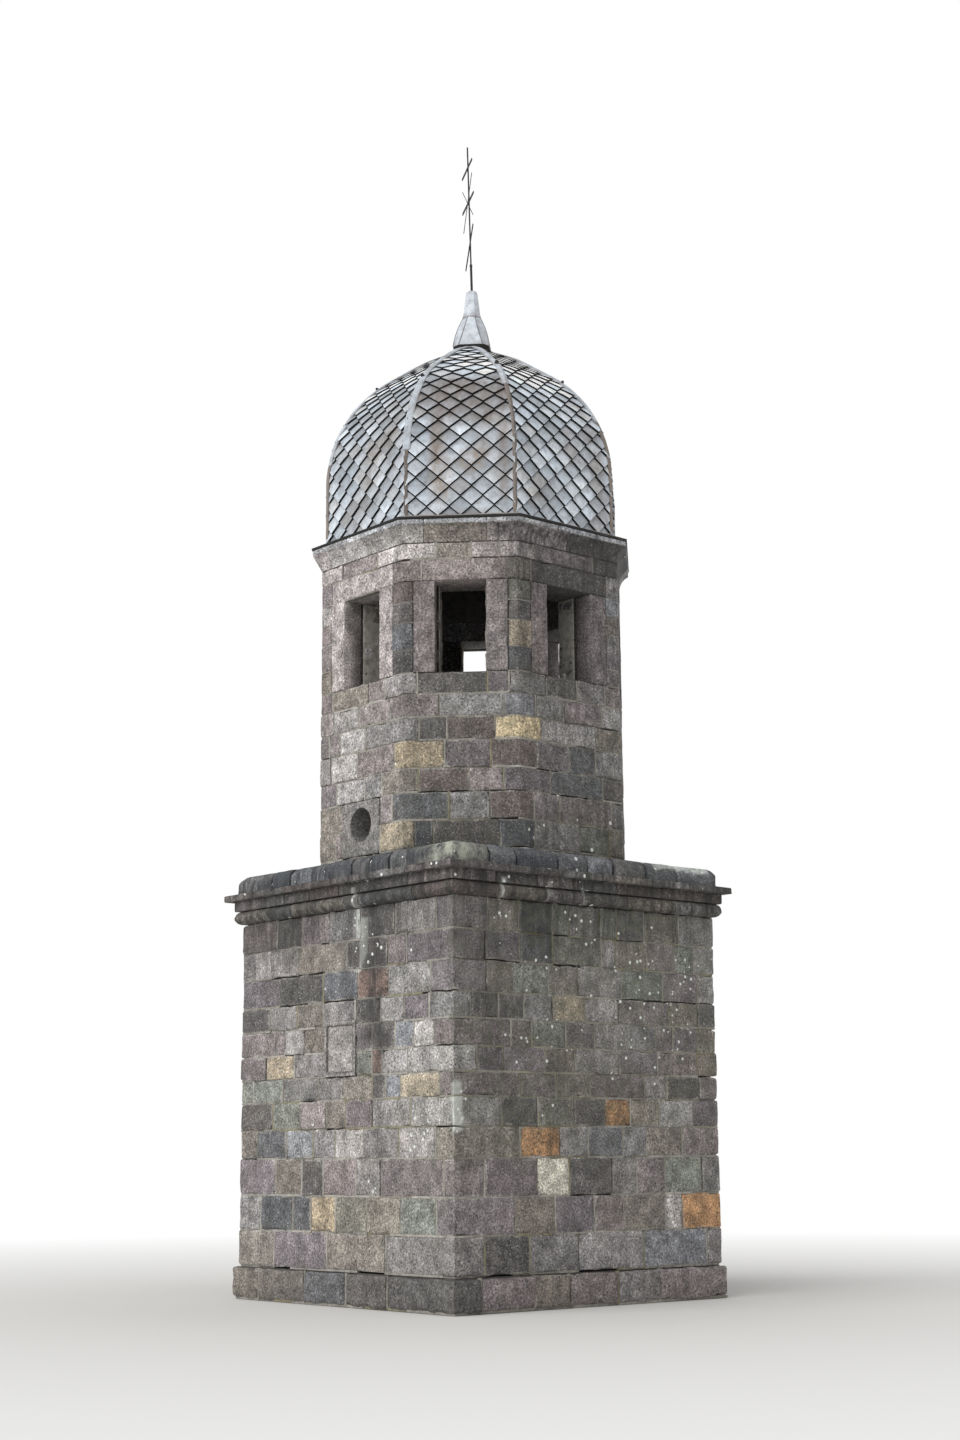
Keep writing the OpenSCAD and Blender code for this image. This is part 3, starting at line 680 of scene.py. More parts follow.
# the square base
base = {
    "seed": 41,
    "lines": [0.315, 0.652, 0.981, 1.318, 1.590, 1.848, 2.066, 2.290, 2.532, 2.765, 3.045, 3.317, 3.613],
    "stone": {
        "gap": 13 * mm, "round": 8 * mm, "proud": 4 * mm, "tilt": 0.010, "border": 20 * mm, "step": 0.09,
        "wave": 0.075, "ragged": 15 * mm, "uneven": 6 * mm, "chip": 0.06, "deep": 0.075, "lost": 0.04,
        "smear": 0.8,
    },
    "left": [
        [-1.059, -0.21, 0.663], [-1.288, -0.752, -0.469, -0.077, 0.391, 0.886, 1.402],
        [-1.037, -0.616, -0.276, 0.234, 0.596, 1.504],
        [-1.366, -0.873, -0.432, -0.084, 0.354, 0.864, 1.384],
        [-1.111, -0.673, -0.248, 0.073, 0.474, 1.033],
        [-1.441, -0.943, -0.368, 0.025, 0.473, 0.669, 0.884, 1.447],
        [-1.225, -0.757, -0.247, 0.231, 0.467, 0.621, 0.997],
        [-1.069, -0.92, -0.593, -0.247, 0.231, 0.466, 0.815, 1.082, 1.364],
        [-1.173, -0.717, -0.289, 0.207, 0.597, 0.933, 1.302], [-1.016, -0.292, 0.239, 0.717, 1.324],
        [-1.439, -0.727, 0.077, 0.705, 0.976], [-1.066, -0.646, -0.205, 0.28, 0.802, 1.399],
    ],
    "front": [
        [-1.307, -0.785, -0.198, 0.617, 1.453], [-0.946, -0.478, 0.006, 0.373, 0.909, 1.134],
        [-1.301, -0.686, -0.3, 0.227, 0.551, 0.92, 1.413], [-0.882, -0.408, -0.061, 0.379, 0.683, 1.157],
        [-1.099, -0.665, -0.23, 0.158, 0.483, 0.865, 1.307], [-0.875, -0.445, -0.026, 0.674, 0.973, 1.406],
        [-1.378, -1.072, -0.578, -0.208, 0.363, 0.856, 1.39],
        [-0.98, -0.733, -0.32, 0.045, 0.467, 0.838, 1.065, 1.399],
        [-1.439, -1.122, -0.82, -0.478, -0.08, 0.352, 0.671, 1.023, 1.408],
        [-1.273, -0.951, -0.519, -0.157, 0.395, 0.943, 1.419],
        [-1.281, -0.857, -0.468, 0.147, 0.33, 0.738, 1.105, 1.377],
        [-1.256, -0.876, -0.463, -0.252, 0.13, 0.349, 0.709, 1.179],
    ],
    "odd": {  # course from the ground, face, about where the stone starts: its colour
        (1, 0, -0.469): "ochre", (1, 0, -1.288): "slate", (1, 0, -0.752): "slate", (1, 0, -0.077): "olive",
        (1, 0, 0.391): "brown", (2, 0, -0.616): "dark", (3, 0, -1.366): "slate", (3, 0, -0.873): "blue",
        (3, 0, -0.084): "light", (3, 0, -0.432): "grey", (4, 0, 1.033): "light", (4, 0, -1.111): "green",
        (4, 0, 0.474): "grey", (5, 0, 0.884): "tan", (5, 0, 0.473): "dark", (5, 0, 0.669): "blue",
        (6, 0, -1.225): "tan", (6, 0, 0.621): "light", (6, 0, 0.231): "green", (6, 0, 0.467): "rust",
        (6, 0, 0.997): "light", (7, 0, -0.92): "light", (7, 0, 0.466): "dark", (7, 0, 0.815): "blue",
        (7, 0, 1.082): "light", (8, 0, -1.173): "grey", (8, 0, 0.597): "light", (8, 0, 0.207): "dark",
        (9, 0, 0.239): "rust", (9, 0, 0.717): "grey", (10, 0, -1.439): "light", (10, 0, 0.077): "dark",
        (11, 0, -0.646): "purple", (11, 0, 0.28): "dark", (11, 0, -0.205): "grey", (11, 0, 1.399): "plum",
        (11, 3, 0.974): "purple", (10, 0, 0.976): "plum", (9, 0, 1.324): "plum", (10, 1, -0.857): "slate",
        (8, 1, -1.122): "dark", (11, 1, -0.463): "green", (9, 1, -0.951): "green", (0, 1, 0.617): "blue",
        (1, 1, 1.134): "orange", (1, 1, 0.909): "light", (2, 1, -0.686): "cream", (2, 1, 0.551): "purple",
        (3, 1, -0.882): "orange", (3, 1, -0.061): "blue", (4, 1, 0.158): "orange", (4, 1, -1.099): "dark",
        (4, 1, 0.865): "light", (4, 1, -0.665): "olive", (8, 1, -0.478): "tan", (8, 1, -1.439): "dark",
        (10, 1, -0.468): "olive", (11, 1, -0.876): "slate",
    },
    "hidden": ((0.22, 0.45), (0.2, 0.4), (0.28, 0.55)), "thick": 0.70, "coreAt": 0.045,
    "tabletFrom": -0.247, "tabletCourses": (6, 7),
    # face, course, upright joint
    "openEnds": [(0, 9, -1.016), (0, 7, -0.92), (1, 8, 0.352), (1, 10, -1.281)],
    "openJoints": [  # face, course over the joint, from, to
        (0, 10, -0.98, -0.80), (0, 10, -0.66, -0.45), (0, 9, -0.2, 0.0), (0, 9, 1.40, 1.60),
        (0, 7, 1.45, 1.62), (1, 11, 0.35, 0.42), (1, 9, 1.4, 1.6), (1, 10, -1.02, -0.9),
        (1, 10, -0.46, -0.3), (1, 7, -1.55, -1.45), (1, 3, -1.6, -1.5),
    ],
}
print("colours and joints ready")


def makeBase():
    rng = random.Random(base["seed"])
    lines = base["lines"]
    joints = []
    for left, front in zip(base["left"], base["front"]):
        joints.append([left, front] + [randomJoints(baseDistance, rng, base["hidden"]) for k in (2, 3)])

    def kindOf(c, k, u, end):
        kind = oddKind(base["odd"], c, k, u)
        return kind or rng.choice(plainMix if rng.random() > 0.03 or k < 2 else rareMix)

    def skip(c, k, u):
        return k == 0 and c in base["tabletCourses"] and abs(u - base["tabletFrom"]) < 0.01

    shells = [Shell(f"base_wall_{name}_ashlar") for name in squareNames]
    look = {**base["stone"], "openEnds": base["openEnds"]}
    addCourses(shells, squareRing, lines, joints, look, kindOf, rng, baseWeather, skip, base["openJoints"])
    for k, shell in enumerate(shells):
        addBacking(shell, squareRing, k, base["coreAt"], base["thick"], lines[0], lines[-1], coreShadeTint)
        finishPiece(shell, masonry, [f"base_wall_{squareNames[k]}"], weld)


makeBase()
print("base walls laid")


# rough stones round the foot
footing = {
    "seed": 7,
    "stone": {
        "gap": 16 * mm, "round": 14 * mm, "proud": 4 * mm, "tilt": 0.03, "border": 26 * mm, "step": 0.07,
        "wave": 0.13, "ragged": 16 * mm, "uneven": 13 * mm, "chip": 0.10, "deep": 0.10, "lost": 0.0,
    },
    "inset": 0.022, "left": [-1.262, -0.506, 0.131, 0.739], "coreAt": 0.085, "thick": 0.80,
    "hidden": ((0.25, 0.5), (0.2, 0.4), (0.4, 0.75)), "mix": ["grey", "dark", "purple", "brown", "slate"],
}


def makeFooting():
    rng = random.Random(footing["seed"])
    joints = [footing["left"]]
    joints += [randomJoints(footingDistance, rng, footing["hidden"]) for k in (1, 2, 3)]
    shells = [Shell(f"footing_{name}_stones") for name in squareNames]
    inner = {**footingRing, "distances": [a - footing["inset"] for a in footingRing["distances"]],
             "halves": [h - footing["inset"] for h in footingRing["halves"]]}
    top = levels["footingTop"]
    addCourses(shells, inner, [0.014, top - 0.014], [joints], footing["stone"],
               lambda c, k, u, end: rng.choice(footing["mix"]), rng, baseWeather, mortarAt=-14 * mm)
    for k, shell in enumerate(shells):
        addBacking(shell, footingRing, k, footing["coreAt"], footing["thick"], 0, top - 0.012, footingShadeCore)
        finishPiece(shell, [rubbleStone, limeMortar], [f"footing_{squareNames[k]}"], weld)


makeFooting()


# the base cornice: half-round, band and corona, each course in its own lengths
cornice = {
    "seed": 12, "bed": 0.40, "torus": 0.132, "band": 0.097, "corona": 0.063, "bandOut": 0.066,
    "coronaOut": 0.142,
    "look": {
        "gap": 7 * mm, "round": 5 * mm, "proud": 2 * mm, "border": 14 * mm, "step": 0.05, "wave": 0.12,
        "uneven": 5 * mm, "chip": 0.06, "reach": 0.1415,
    },
    "mix": ["grey", "umber", "dark", "slate", "brown", "purple", "dark"],
    "hidden": ((0.3, 0.5), (0.2, 0.4), (0.35, 0.75)),
    "joints": [
        [[-1.13, -0.759, 0.062, 0.372, 1.129], [-1.124, -0.581, -0.137, 0.45, 1.08]],
        [[-1.25, -0.86, -0.446, 0.022, 0.359, 1.081], [-1.2, -0.7, -0.2, 0.3, 0.9]],
        [[-1.3, -0.752, 0.019, 0.459, 1.129], [-1.1, -0.5, 0.1, 0.7, 1.2]],
    ],
}


def corniceOutlines():
    t, b, c = cornice["torus"], cornice["band"], cornice["corona"]
    bed, bandOut, coronaOut = cornice["bed"], cornice["bandOut"], cornice["coronaOut"]
    low = levels["wallTop"]
    arc = [(t / 2 * math.sin(math.pi * i / 10), low + t / 2 - t / 2 * math.cos(math.pi * i / 10), 1.0)
           for i in range(11)]
    torus = [(-bed, low, 0)] + arc + [(-bed, low + t, 0)]
    low += t
    band = [(-bed, low, 0), (bandOut - 4 * mm, low, 1), (bandOut, low + 5 * mm, 1), (bandOut, low + b / 2, 1),
            (bandOut, low + b - 5 * mm, 1), (bandOut - 4 * mm, low + b, 1), (-bed, low + b, 0)]
    low += b
    corona = [(-bed, low, 0), (coronaOut - 5 * mm, low + 1 * mm, 2), (coronaOut, low + 7 * mm, 2),
              (coronaOut, low + c * 0.55, 1), (coronaOut, low + c - 8 * mm, 2),
              (coronaOut - 8 * mm, low + c, 2), (-bed, low + c, 0)]
    return [torus, band, corona]


def addRows(shells, ring, outline, joints, look, kindOf, rng, weather, slot=0):
    for k, u, end, arrises in stonesRound(ring, joints):
        tint = stoneTint(kindOf(k), rng)
        addLength(shells[k], onFace(ring, k), outline, u, end, look, tint, arrises, rng, weather, slot)


def corniceWeatherAndShade(p):
    turn, u = faceOf(p, squareRing["turns"])
    broad = 0.5 + 0.5 * wobble(p, 0.3, 14)
    sootAndShade = (0.95 if turn == frontTurn else 0.82) + 0.8 * (broad - 0.5)
    # painted shade: the half-round is black below
    sootAndShade += 0.9 * clamp(1 - (p.z - levels["wallTop"]) / 0.07)  # the half-round is black below
    if turn == leftTurn and abs(u - 0.5) < 0.35:
        sootAndShade += 0.4 * (1 - abs(u - 0.5) / 0.35)
    white = whiteAt(p, turn, u)
    pale = 1 + 0.7 * white if white > 0.15 else 0.12 * broad
    return (clamp(sootAndShade, 0.0, 0.96) * (1 - 0.8 * white), 0.2 * broad, pale)


def makeBaseCornice():
    rng = random.Random(cornice["seed"])
    shells = [Shell(f"base_cornice_{name}_mouldings") for name in squareNames]
    for outline, joints in zip(corniceOutlines(), cornice["joints"]):
        joints = joints + [randomJoints(baseDistance, rng, cornice["hidden"]) for k in (2, 3)]
        addRows(shells, squareRing, outline, joints, cornice["look"],
                lambda k: rng.choice(cornice["mix"]), rng, corniceWeatherAndShade)
    low, high = levels["wallTop"] + 4 * mm, levels["corniceTop"] - 6 * mm
    for k, shell in enumerate(shells):
        addBacking(shell, squareRing, k, 0.012, cornice["bed"] - 0.01, low, high, seatTint)
        finishPiece(shell, masonry, [f"base_cornice_{squareNames[k]}"], weld)


makeBaseCornice()


# the coping: big rounded blocks that slope up to the belfry
coping = {
    "seed": 5, "out": 0.035, "high": 0.190, "round": 0.100, "slope": 6.0,
    "look": {
        "gap": 22 * mm, "round": 16 * mm, "proud": 9 * mm, "border": 45 * mm, "step": 0.06, "wave": 0.20,
        "uneven": 12 * mm, "chip": 0.10, "reach": 0.05,
    },
    "mix": ["ink", "slate", "slate", "dark", "ink", "grey", "blue"], "coreAt": 0.03, "thick": 0.55,
    "coreTall": 0.12, "hidden": ((0.3, 0.5), (0.2, 0.4), (0.28, 0.5)),
    "joints": [
        [-1.128, -0.831, -0.472, -0.162, 0.180, 0.450, 0.740, 1.011],
        [-1.246, -0.917, -0.404, -0.03, 0.300, 0.72, 1.15],
    ],
}


def copingOutline(u):
    # upright edge, rounded over, then a slope back to the belfry's wall
    u = (u + baseDistance) % (2 * baseDistance) - baseDistance
    low = levels["corniceTop"]
    out, r, high = coping["out"], coping["round"], coping["high"]
    slope = math.radians(coping["slope"])
    corner = cornerDistance * math.sqrt(2) - baseDistance  # where the belfry's corner face meets the blocks
    wall = min(sideDistance - baseDistance, corner - abs(u))
    back = max(corner - baseDistance, wall, cornerDistance / math.sqrt(2) - baseDistance) - 0.03
    points = [(back, low, 0), (out - 8 * mm, low, 1),
              (out, low + 8 * mm, 1), (out, low + (high - r) * 0.6, 1)]
    for i in range(6):
        turn = (math.pi / 2 - slope) * i / 5
        points.append((out - r + r * math.cos(turn), low + high - r + r * math.sin(turn), 1))
    edge = points[-1]
    for share in (0.15, 0.5, 0.85):
        d = edge[0] + (back - edge[0]) * share
        points.append((d, edge[1] + (edge[0] - d) * math.tan(slope), 0.8))
    points.append((back, edge[1] + (edge[0] - back) * math.tan(slope), 0.4))
    return points


def copingWeather(p):
    turn, u = faceOf(p, squareRing["turns"])
    broad = 0.5 + 0.5 * wobble(p, 0.35, 19)
    sootAndShade = (0.35 if turn == frontTurn else 0.88) + 0.4 * broad
    near = math.hypot(p.x + baseDistance, p.y + baseDistance)
    # the front's right end is overgrown on top
    pale = clamp(2.4 - 2 * abs(u - 1.25) / 0.4) if turn == frontTurn else 0.0
    pale *= clamp((p.z - 4.012) / 0.04 + 0.8 * wobble(p, 0.07, 31))
    moss = min(0.9, 0.12 * broad + 2.2 * max(0.0, 0.5 - near))
    sootAndShade = clamp(sootAndShade - 0.6 * max(0.0, 0.8 - near), 0.0, 0.93)
    return (sootAndShade * (1 - 0.8 * pale), moss, 1 + 0.8 * pale if pale > 0.15 else 0.15 * broad)


def makeCopings():
    rng = random.Random(coping["seed"])
    shells = [Shell(f"coping_{name}_blocks") for name in squareNames]
    joints = coping["joints"] + [randomJoints(baseDistance, rng, coping["hidden"]) for k in (2, 3)]
    addRows(shells, squareRing, copingOutline, joints, coping["look"],
            lambda k: rng.choice(coping["mix"]), rng, copingWeather)
    low = levels["corniceTop"] + 1 * mm
    high = levels["corniceTop"] + coping["coreTall"]
    for k, shell in enumerate(shells):
        addBacking(shell, squareRing, k, coping["coreAt"], coping["thick"], low, high, copingShadeCore)
        finishPiece(shell, [copingStone, limeMortar], [f"coping_{squareNames[k]}"], weld)


makeCopings()
print("footing, cornice and coping laid")


# the eight-sided belfry
belfry = {
    "seed": 23, "thick": 0.45, "coreAt": 0.045, "oculusR": 0.164, "oculusZ": 4.447,
    "oculusStone": (0.2935, 4.144, 4.678), "oculusCourses": (1, 2),  # half width, foot and top; its courses
    "hidden": ((0.08, 0.3), (0.05, 0.25), (0.22, 0.5)),
    "oculusFace": [  # share of the way from the hole to the stone's edge, how far it falls back
        (0, 7 * mm), (0.03, 1.5 * mm), (0.1, 0), (0.35, 0), (0.62, 0), (0.88, 0), (0.965, 1 * mm),
        (1, 5 * mm),
    ],
    "lines": [3.905, 4.144, 4.411, 4.678, 4.903, 5.170, 5.393, 5.614, 5.823],
    "stone": {
        "gap": 12 * mm, "round": 7 * mm, "proud": 4 * mm, "tilt": 0.010, "border": 18 * mm, "step": 0.08,
        "wave": 0.075, "ragged": 15 * mm, "uneven": 5 * mm, "chip": 0.06, "deep": 0.075, "lost": 0.08,
        "smear": 1.0,
    },
    "joints": [  # left, front left, front
        [[-0.3, 0.2], [-0.2, 0.3], [-0.3, 0.25]],
        [[-0.401, -0.2935, 0.2935], [-0.445, -0.263, 0.356], [-0.472, 0.086, 0.487]],
        [[-0.371, -0.2935, 0.2935, 0.485], [-0.119, 0.263], [-0.481, -0.158, 0.52]],
        [[-0.39, 0.054, 0.327], [-0.406, 0.074, 0.399], [-0.27, 0.405]],
        [[-0.493, -0.061, 0.516], [-0.156, 0.277], [-0.447, -0.03, 0.317]],
        [[-0.516, -0.329, 0.067], [-0.396, -0.135, 0.317], [-0.378, 0.323]],
        [[-0.45, -0.049, 0.451], [-0.212, 0.405], [-0.439, -0.074, 0.409]],
        [[-0.469, 0.113, 0.371], [-0.415, 0.253, 0.455], [-0.319, 0.09, 0.456]],
    ],
    "odd": {
        (7, 1, -0.415): "dark", (7, 1, 0.253): "plum", (7, 1, 0.455): "grey", (6, 1, -0.212): "grey",
        (6, 1, 0.405): "blue", (5, 1, -0.396): "dark", (5, 1, -0.135): "umber", (5, 1, 0.317): "yellow",
        (4, 0, 0.516): "buff", (4, 1, -0.156): "plum", (4, 1, 0.277): "umber", (4, 2, -0.447): "plum",
        (3, 1, -0.406): "umber", (3, 1, 0.074): "rose", (3, 1, 0.399): "plum", (3, 2, -0.27): "slate",
        (2, 0, 0.485): "slate", (2, 1, -0.119): "grey", (2, 1, 0.263): "umber", (2, 2, -0.481): "plum",
        (1, 0, 0.2935): "tan", (1, 1, -0.445): "ink", (1, 1, -0.263): "dark", (1, 1, 0.356): "ink",
        (0, 1, -0.2): "dark",
    },
    "openJoints": [(0, 3, -0.6, 0.3), (1, 3, -0.5, 0.5), (2, 3, -0.6, 0.2), (2, 4, -0.42, -0.25)],
}


def makeBelfryWalls():
    rng = random.Random(belfry["seed"])
    joints = []
    for row in belfry["joints"]:
        joints.append(row + [randomJoints(half, rng, belfry["hidden"]) for half in belfryRing["halves"][3:]])
    shells = [Shell(f"belfry_wall_{name}_ashlar") for name in belfryNames]
    edge, low, high = belfry["oculusStone"]

    def kindOf(c, k, u, end):
        return oddKind(belfry["odd"], c, k, u) or rng.choice(paleMix if k == 0 and c > 2 else plainMix)

    def skip(c, k, u):
        return k == 0 and c in belfry["oculusCourses"] and abs(u + edge) < 0.01

    addCourses(shells, belfryRing, belfry["lines"], joints, belfry["stone"], kindOf, rng, belfryWeatherAndShade, skip,
               belfry["openJoints"])
    foot, sill, coreAt, thick = belfry["lines"][0], levels["sill"], belfry["coreAt"], belfry["thick"]
    for k, shell in enumerate(shells):
        half = belfryRing["halves"][k]
        if k:
            addBacking(shell, belfryRing, k, coreAt, thick, foot, sill, coreShadeTint)
            addBacking(shell, belfryRing, k, 0.02, thick, sill - 0.03, sill, coreShadeTint)
        else:
            addBacking(shell, belfryRing, k, coreAt, thick, foot, low, coreShadeTint)
            for span in ((-half, -edge), (edge, half)):
                addBacking(shell, belfryRing, k, coreAt, thick, low, high, coreShadeTint, span)
            addBacking(shell, belfryRing, k, coreAt, thick, high, sill, coreShadeTint)
        finishPiece(shell, masonry, [f"belfry_wall_{belfryNames[k]}"], weld)


makeBelfryWalls()


def makeOculus():
    rng = random.Random(3)
    shell = Shell("oculus_stone_dressed")
    place = onFace(belfryRing, 0)
    edge, low, high = belfry["oculusStone"]
    edge, low, high = edge - 4 * mm, low + 4 * mm, high - 4 * mm
    radius, middle, wall = belfry["oculusR"], belfry["oculusZ"], belfry["thick"]
    tint = stoneTint("grey", rng)
    count = 64
    turns = (2 * math.pi * (i + 0.5) / count for i in range(count))
    spokes = [(math.cos(t), math.sin(t)) for t in turns]

    def reach(c, s):
        # how far the stone's edge is along a spoke
        room = high - middle if s > 0 else middle - low
        return min(edge / max(abs(c), 1e-6), room / max(abs(s), 1e-6))

    rings = []
    for share, drop in belfry["oculusFace"]:
        ring = []
        for c, s in spokes:
            r = radius + (reach(c, s) - radius) * share
            u, z = r * c, middle + r * s
            p = place(u, 3 * mm - drop + 3 * mm * wobble((u, z, 2), 0.12, 3), z)
            ring.append(shell.vert(p, tint, belfryWeatherAndShade(p)))
        rings.append(ring)
    for share in (0.05, 0.3, 0.6, 1.0):
        ring = []
        for i, (c, s) in enumerate(spokes):
            u = (radius + 1.5 * mm * wobble((i, share, 1), 3)) * c
            ring.append(shell.vert(place(u, -wall * share, middle + radius * s), tint, (0.25, 0, 0)))
        rings.insert(0, ring)
    ends = [(reach(c, s) * c, middle + reach(c, s) * s) for c, s in spokes]
    rings.append([shell.vert(place(u, -wall, z), tint) for u, z in ends])
    for a, b in zip(rings, rings[1:] + rings[:1]):
        for i in range(count):
            j = (i + 1) % count
            shell.face((a[i], b[i], b[j], a[j]))
    finishPiece(shell, masonry, ["oculus_stone"])


makeOculus()

windows = {
    "seed": 31, "jamb": 0.208, "deep": 0.22, "side": 0.56507 / 2, "corner": 0.49076 / 2,
    "quoinLines": [
        [0, 0.224, 0.489, 0.693, 0.896], [0, 0.237, 0.497, 0.693, 0.896],
        [0, 0.17, 0.33, 0.52, 0.71, 0.896],
    ],
    "quoin": {
        "gap": 8 * mm, "round": 5 * mm, "proud": 4 * mm, "tilt": 0.01, "border": 12 * mm, "step": 0.07,
        "wave": 0.07, "ragged": 6 * mm, "uneven": 4 * mm, "chip": 0.08, "deep": 0.12,
    },
    "slab": {
        "gap": 5 * mm, "round": 5 * mm, "proud": 2 * mm, "tilt": 0.004, "border": 10 * mm, "step": 0.08,
        "wave": 0.10, "ragged": 3 * mm, "uneven": 3 * mm, "chip": 0.06, "deep": 0.21,
    },
    "bed": {
        "gap": 0.0, "round": 4 * mm, "proud": 0.0, "tilt": 0.0, "border": 12 * mm, "step": 0.05,
        "wave": 0.06, "ragged": 0.0, "uneven": 10 * mm, "chip": 0.0, "deep": 0.01,
    },
    "rubble": {
        "gap": 16 * mm, "round": 14 * mm, "proud": 6 * mm, "tilt": 0.05, "border": 20 * mm, "step": 0.05,
        "wave": 0.07, "ragged": 9 * mm, "uneven": 8 * mm, "chip": 0.06, "deep": 0.01,
    },
    "rubbleOut": 0.024,
    "odd": {  # pier, course: its colour
        (0, 0): "dark", (0, 1): "slate", (0, 2): "dark", (0, 3): "umber", (1, 0): "slate", (1, 1): "tan",
        (1, 2): "dark", (1, 3): "olive",
    },
    "rubbleMix": ["grey", "brown", "dark", "light", "slate"], "jambMix": ["blush", "rose", "purple"],
}


def addRubble(shell, k, way, start, end, rng):
    # rough stones in pale mortar on the inside of an opening
    wide = windows["side"] if k % 2 == 0 else windows["corner"]
    out, z0, z1 = windows["rubbleOut"], levels["sill"], levels["head"]
    start, end = sorted((way * start, way * end))
    place = movedOut(lambda u, d, z: placeOnRing(belfryRing, k, way * (wide - d), way * u, z), out)
    tint = mortarTint(place(start, -out, z0), rng)
    addStone(shell, place, start, end, z0, z1, windows["bed"], tint, (), rng, lambda p: (0.05, 0, 0), 1)
    z = z0 + 5 * mm
    while z < z1 - 0.06:
        tall = rng.uniform(0.09, 0.2)
        top = z1 - 5 * mm if z1 - z - tall < 0.09 else z + tall
        split = start + (end - start) * rng.uniform(0.3, 0.7)
        for a, b in [(start, split), (split, end)] if rng.random() < 0.6 else [(start, end)]:
            if rng.random() < 0.85:
                tint = stoneTint(rng.choice(windows["rubbleMix"]), rng, 0.3)
                addStone(shell, place, a, b, z, top, windows["rubble"], tint, (), rng,
                         lambda p: (0.12, 0, 0), 2)
        z = top


def makePiers():
    rng = random.Random(windows["seed"])
    shells = [Shell(f"belfry_piers_{name}_quoins") for name in squareNames]
    sill, head = levels["sill"], levels["head"]
    jamb, deep, thick = windows["jamb"], windows["deep"], belfry["thick"]
    for k in range(8):
        nextK = (k + 1) % 8
        own, past = [windows["side"] if q % 2 == 0 else windows["corner"] for q in (k, nextK)]
        shell = shells[k // 2 if k % 2 == 0 else (nextK // 2) % 4]
        place, other = onFace(belfryRing, k), onFace(belfryRing, nextK)
        half = belfryRing["halves"][k]
        u0, u1 = own + jamb, half + (belfryRing["halves"][nextK] - past - jamb)
        lines = windows["quoinLines"][k] if k < 3 else windows["quoinLines"][rng.randrange(3)]
        for c, (z0, z1) in enumerate(zip(lines, lines[1:])):
            kind = windows["odd"].get((k, c)) or rng.choice(paleMix if k == 7 else plainMix)
            low = sill + z0
            addStone(shell, place, u0, u1, low, sill + z1, windows["quoin"], stoneTint(kind, rng),
                     [half], rng, belfryWeatherAndShade)
            addMortar(shell, place, -6 * mm, u0, u1, low - 8 * mm, low + 8 * mm,
                      place(half, 0, low), rng, belfryWeatherAndShade, [half])
        # the rubble core behind the quoins and jambs, nearly black as painted shade
        plan = [place(half, -0.02, 0), place(u0, -0.03, 0), place(u0, -deep, 0), place(own, -deep, 0),
                place(own, -thick, 0), place(half, -thick, 0), other(-past, -thick, 0),
                other(-past, -deep, 0), other(-past - jamb, -deep, 0), other(-past - jamb, -0.03, 0)]
        addPrism(shell, list(reversed(plan)), sill, head, pierShadeCore, 2)
        addRubble(shell, k, 1, -thick + 0.005, -deep - 0.005, rng)
        addRubble(shell, nextK, -1, -thick + 0.005, -deep - 0.005, rng)
    for k, shell in enumerate(shells):
        finishPiece(shell, [ashlarStone, limeMortar, rubbleStone],
                    [f"belfry_piers_{squareNames[k]}"], weld)


makePiers()


def makeJambs():
    rng = random.Random(77)
    for label, first in (("side", 0), ("corner", 1)):
        shell = Shell(f"{label}_window_jambs_slabs")
        wide = windows[label]
        for k in range(first, 8, 2):
            for way in (-1, 1):
                u0, u1 = sorted((way * wide, way * (wide + windows["jamb"])))
                tint = stoneTint(windows["jambMix"][min(k, 2)], rng, 0.08)
                addStone(shell, onFace(belfryRing, k), u0, u1, levels["sill"], levels["head"],
                         windows["slab"], tint, (), rng, belfryWeatherAndShade)
        finishPiece(shell, masonry, [f"{label}_window_jambs"], weld)


makeJambs()

lintels = {
    "seed": 9,
    "stone": {
        "gap": 8 * mm, "round": 6 * mm, "proud": 3 * mm, "tilt": 0.006, "border": 12 * mm, "step": 0.09,
        "wave": 0.10, "ragged": 4 * mm, "uneven": 3 * mm, "chip": 0.10, "deep": 0.449, "lost": 0.0,
    },
    "joints": [
        [-0.49, 0.496], [-0.375, 0.446], [-0.485, 0.511], [-0.44, 0.45], [-0.49, 0.5], [-0.45, 0.43],
        [-0.5, 0.49], [-0.43, 0.44],
    ],
    "frieze": [
        [-0.313, 0.253], [-0.237, 0.106, 0.37], [-0.416, 0.324], [-0.2, 0.3], [-0.4, 0.1], [-0.3, 0.25],
        [-0.35, 0.3], [-0.25, 0.2],
    ],
    "cavetto": [
        [-0.5, 0.1], [-0.35, 0.258, 0.374], [-0.029], [-0.3, 0.3], [-0.2, 0.4], [-0.35, 0.2], [-0.3, 0.35],
        [-0.2, 0.3],
    ],
    "fillet": [
        [-0.533, -0.124, 0.405], [-0.344, -0.001, 0.263], [-0.2, 0.35], [-0.4, 0.2], [-0.1, 0.5],
        [-0.3, 0.2], [-0.45, 0.1], [-0.2, 0.3],
    ],
    "friezeStone": {"deep": 0.12, "gap": 17 * mm}, "plain": 0.165, "hollow": 0.158, "out": 0.092,
    "bed": 0.20, "kinds": {0: "blush", 1: "rose", 2: "dark", 7: "blush"},
    "mix": {
        0: ["blush", "rose", "light"], 1: ["rose", "blush", "brown"], 2: ["dark", "purple", "grey"],
        7: ["blush", "rose"],
    },
    "filletMix": ["drip"],
    # face, course, from, to
    "cracks": [(0, 0, 0.50, 0.65), (1, 0, -0.65, -0.30), (1, 0, 0.15, 0.65), (2, 0, -0.65, 0.45)],
    "moulding": {
        "gap": 5 * mm, "round": 3 * mm, "proud": 2 * mm, "border": 12 * mm, "step": 0.06, "wave": 0.10,
        "uneven": 4 * mm, "chip": 0.06, "reach": 0.094,
    },
}


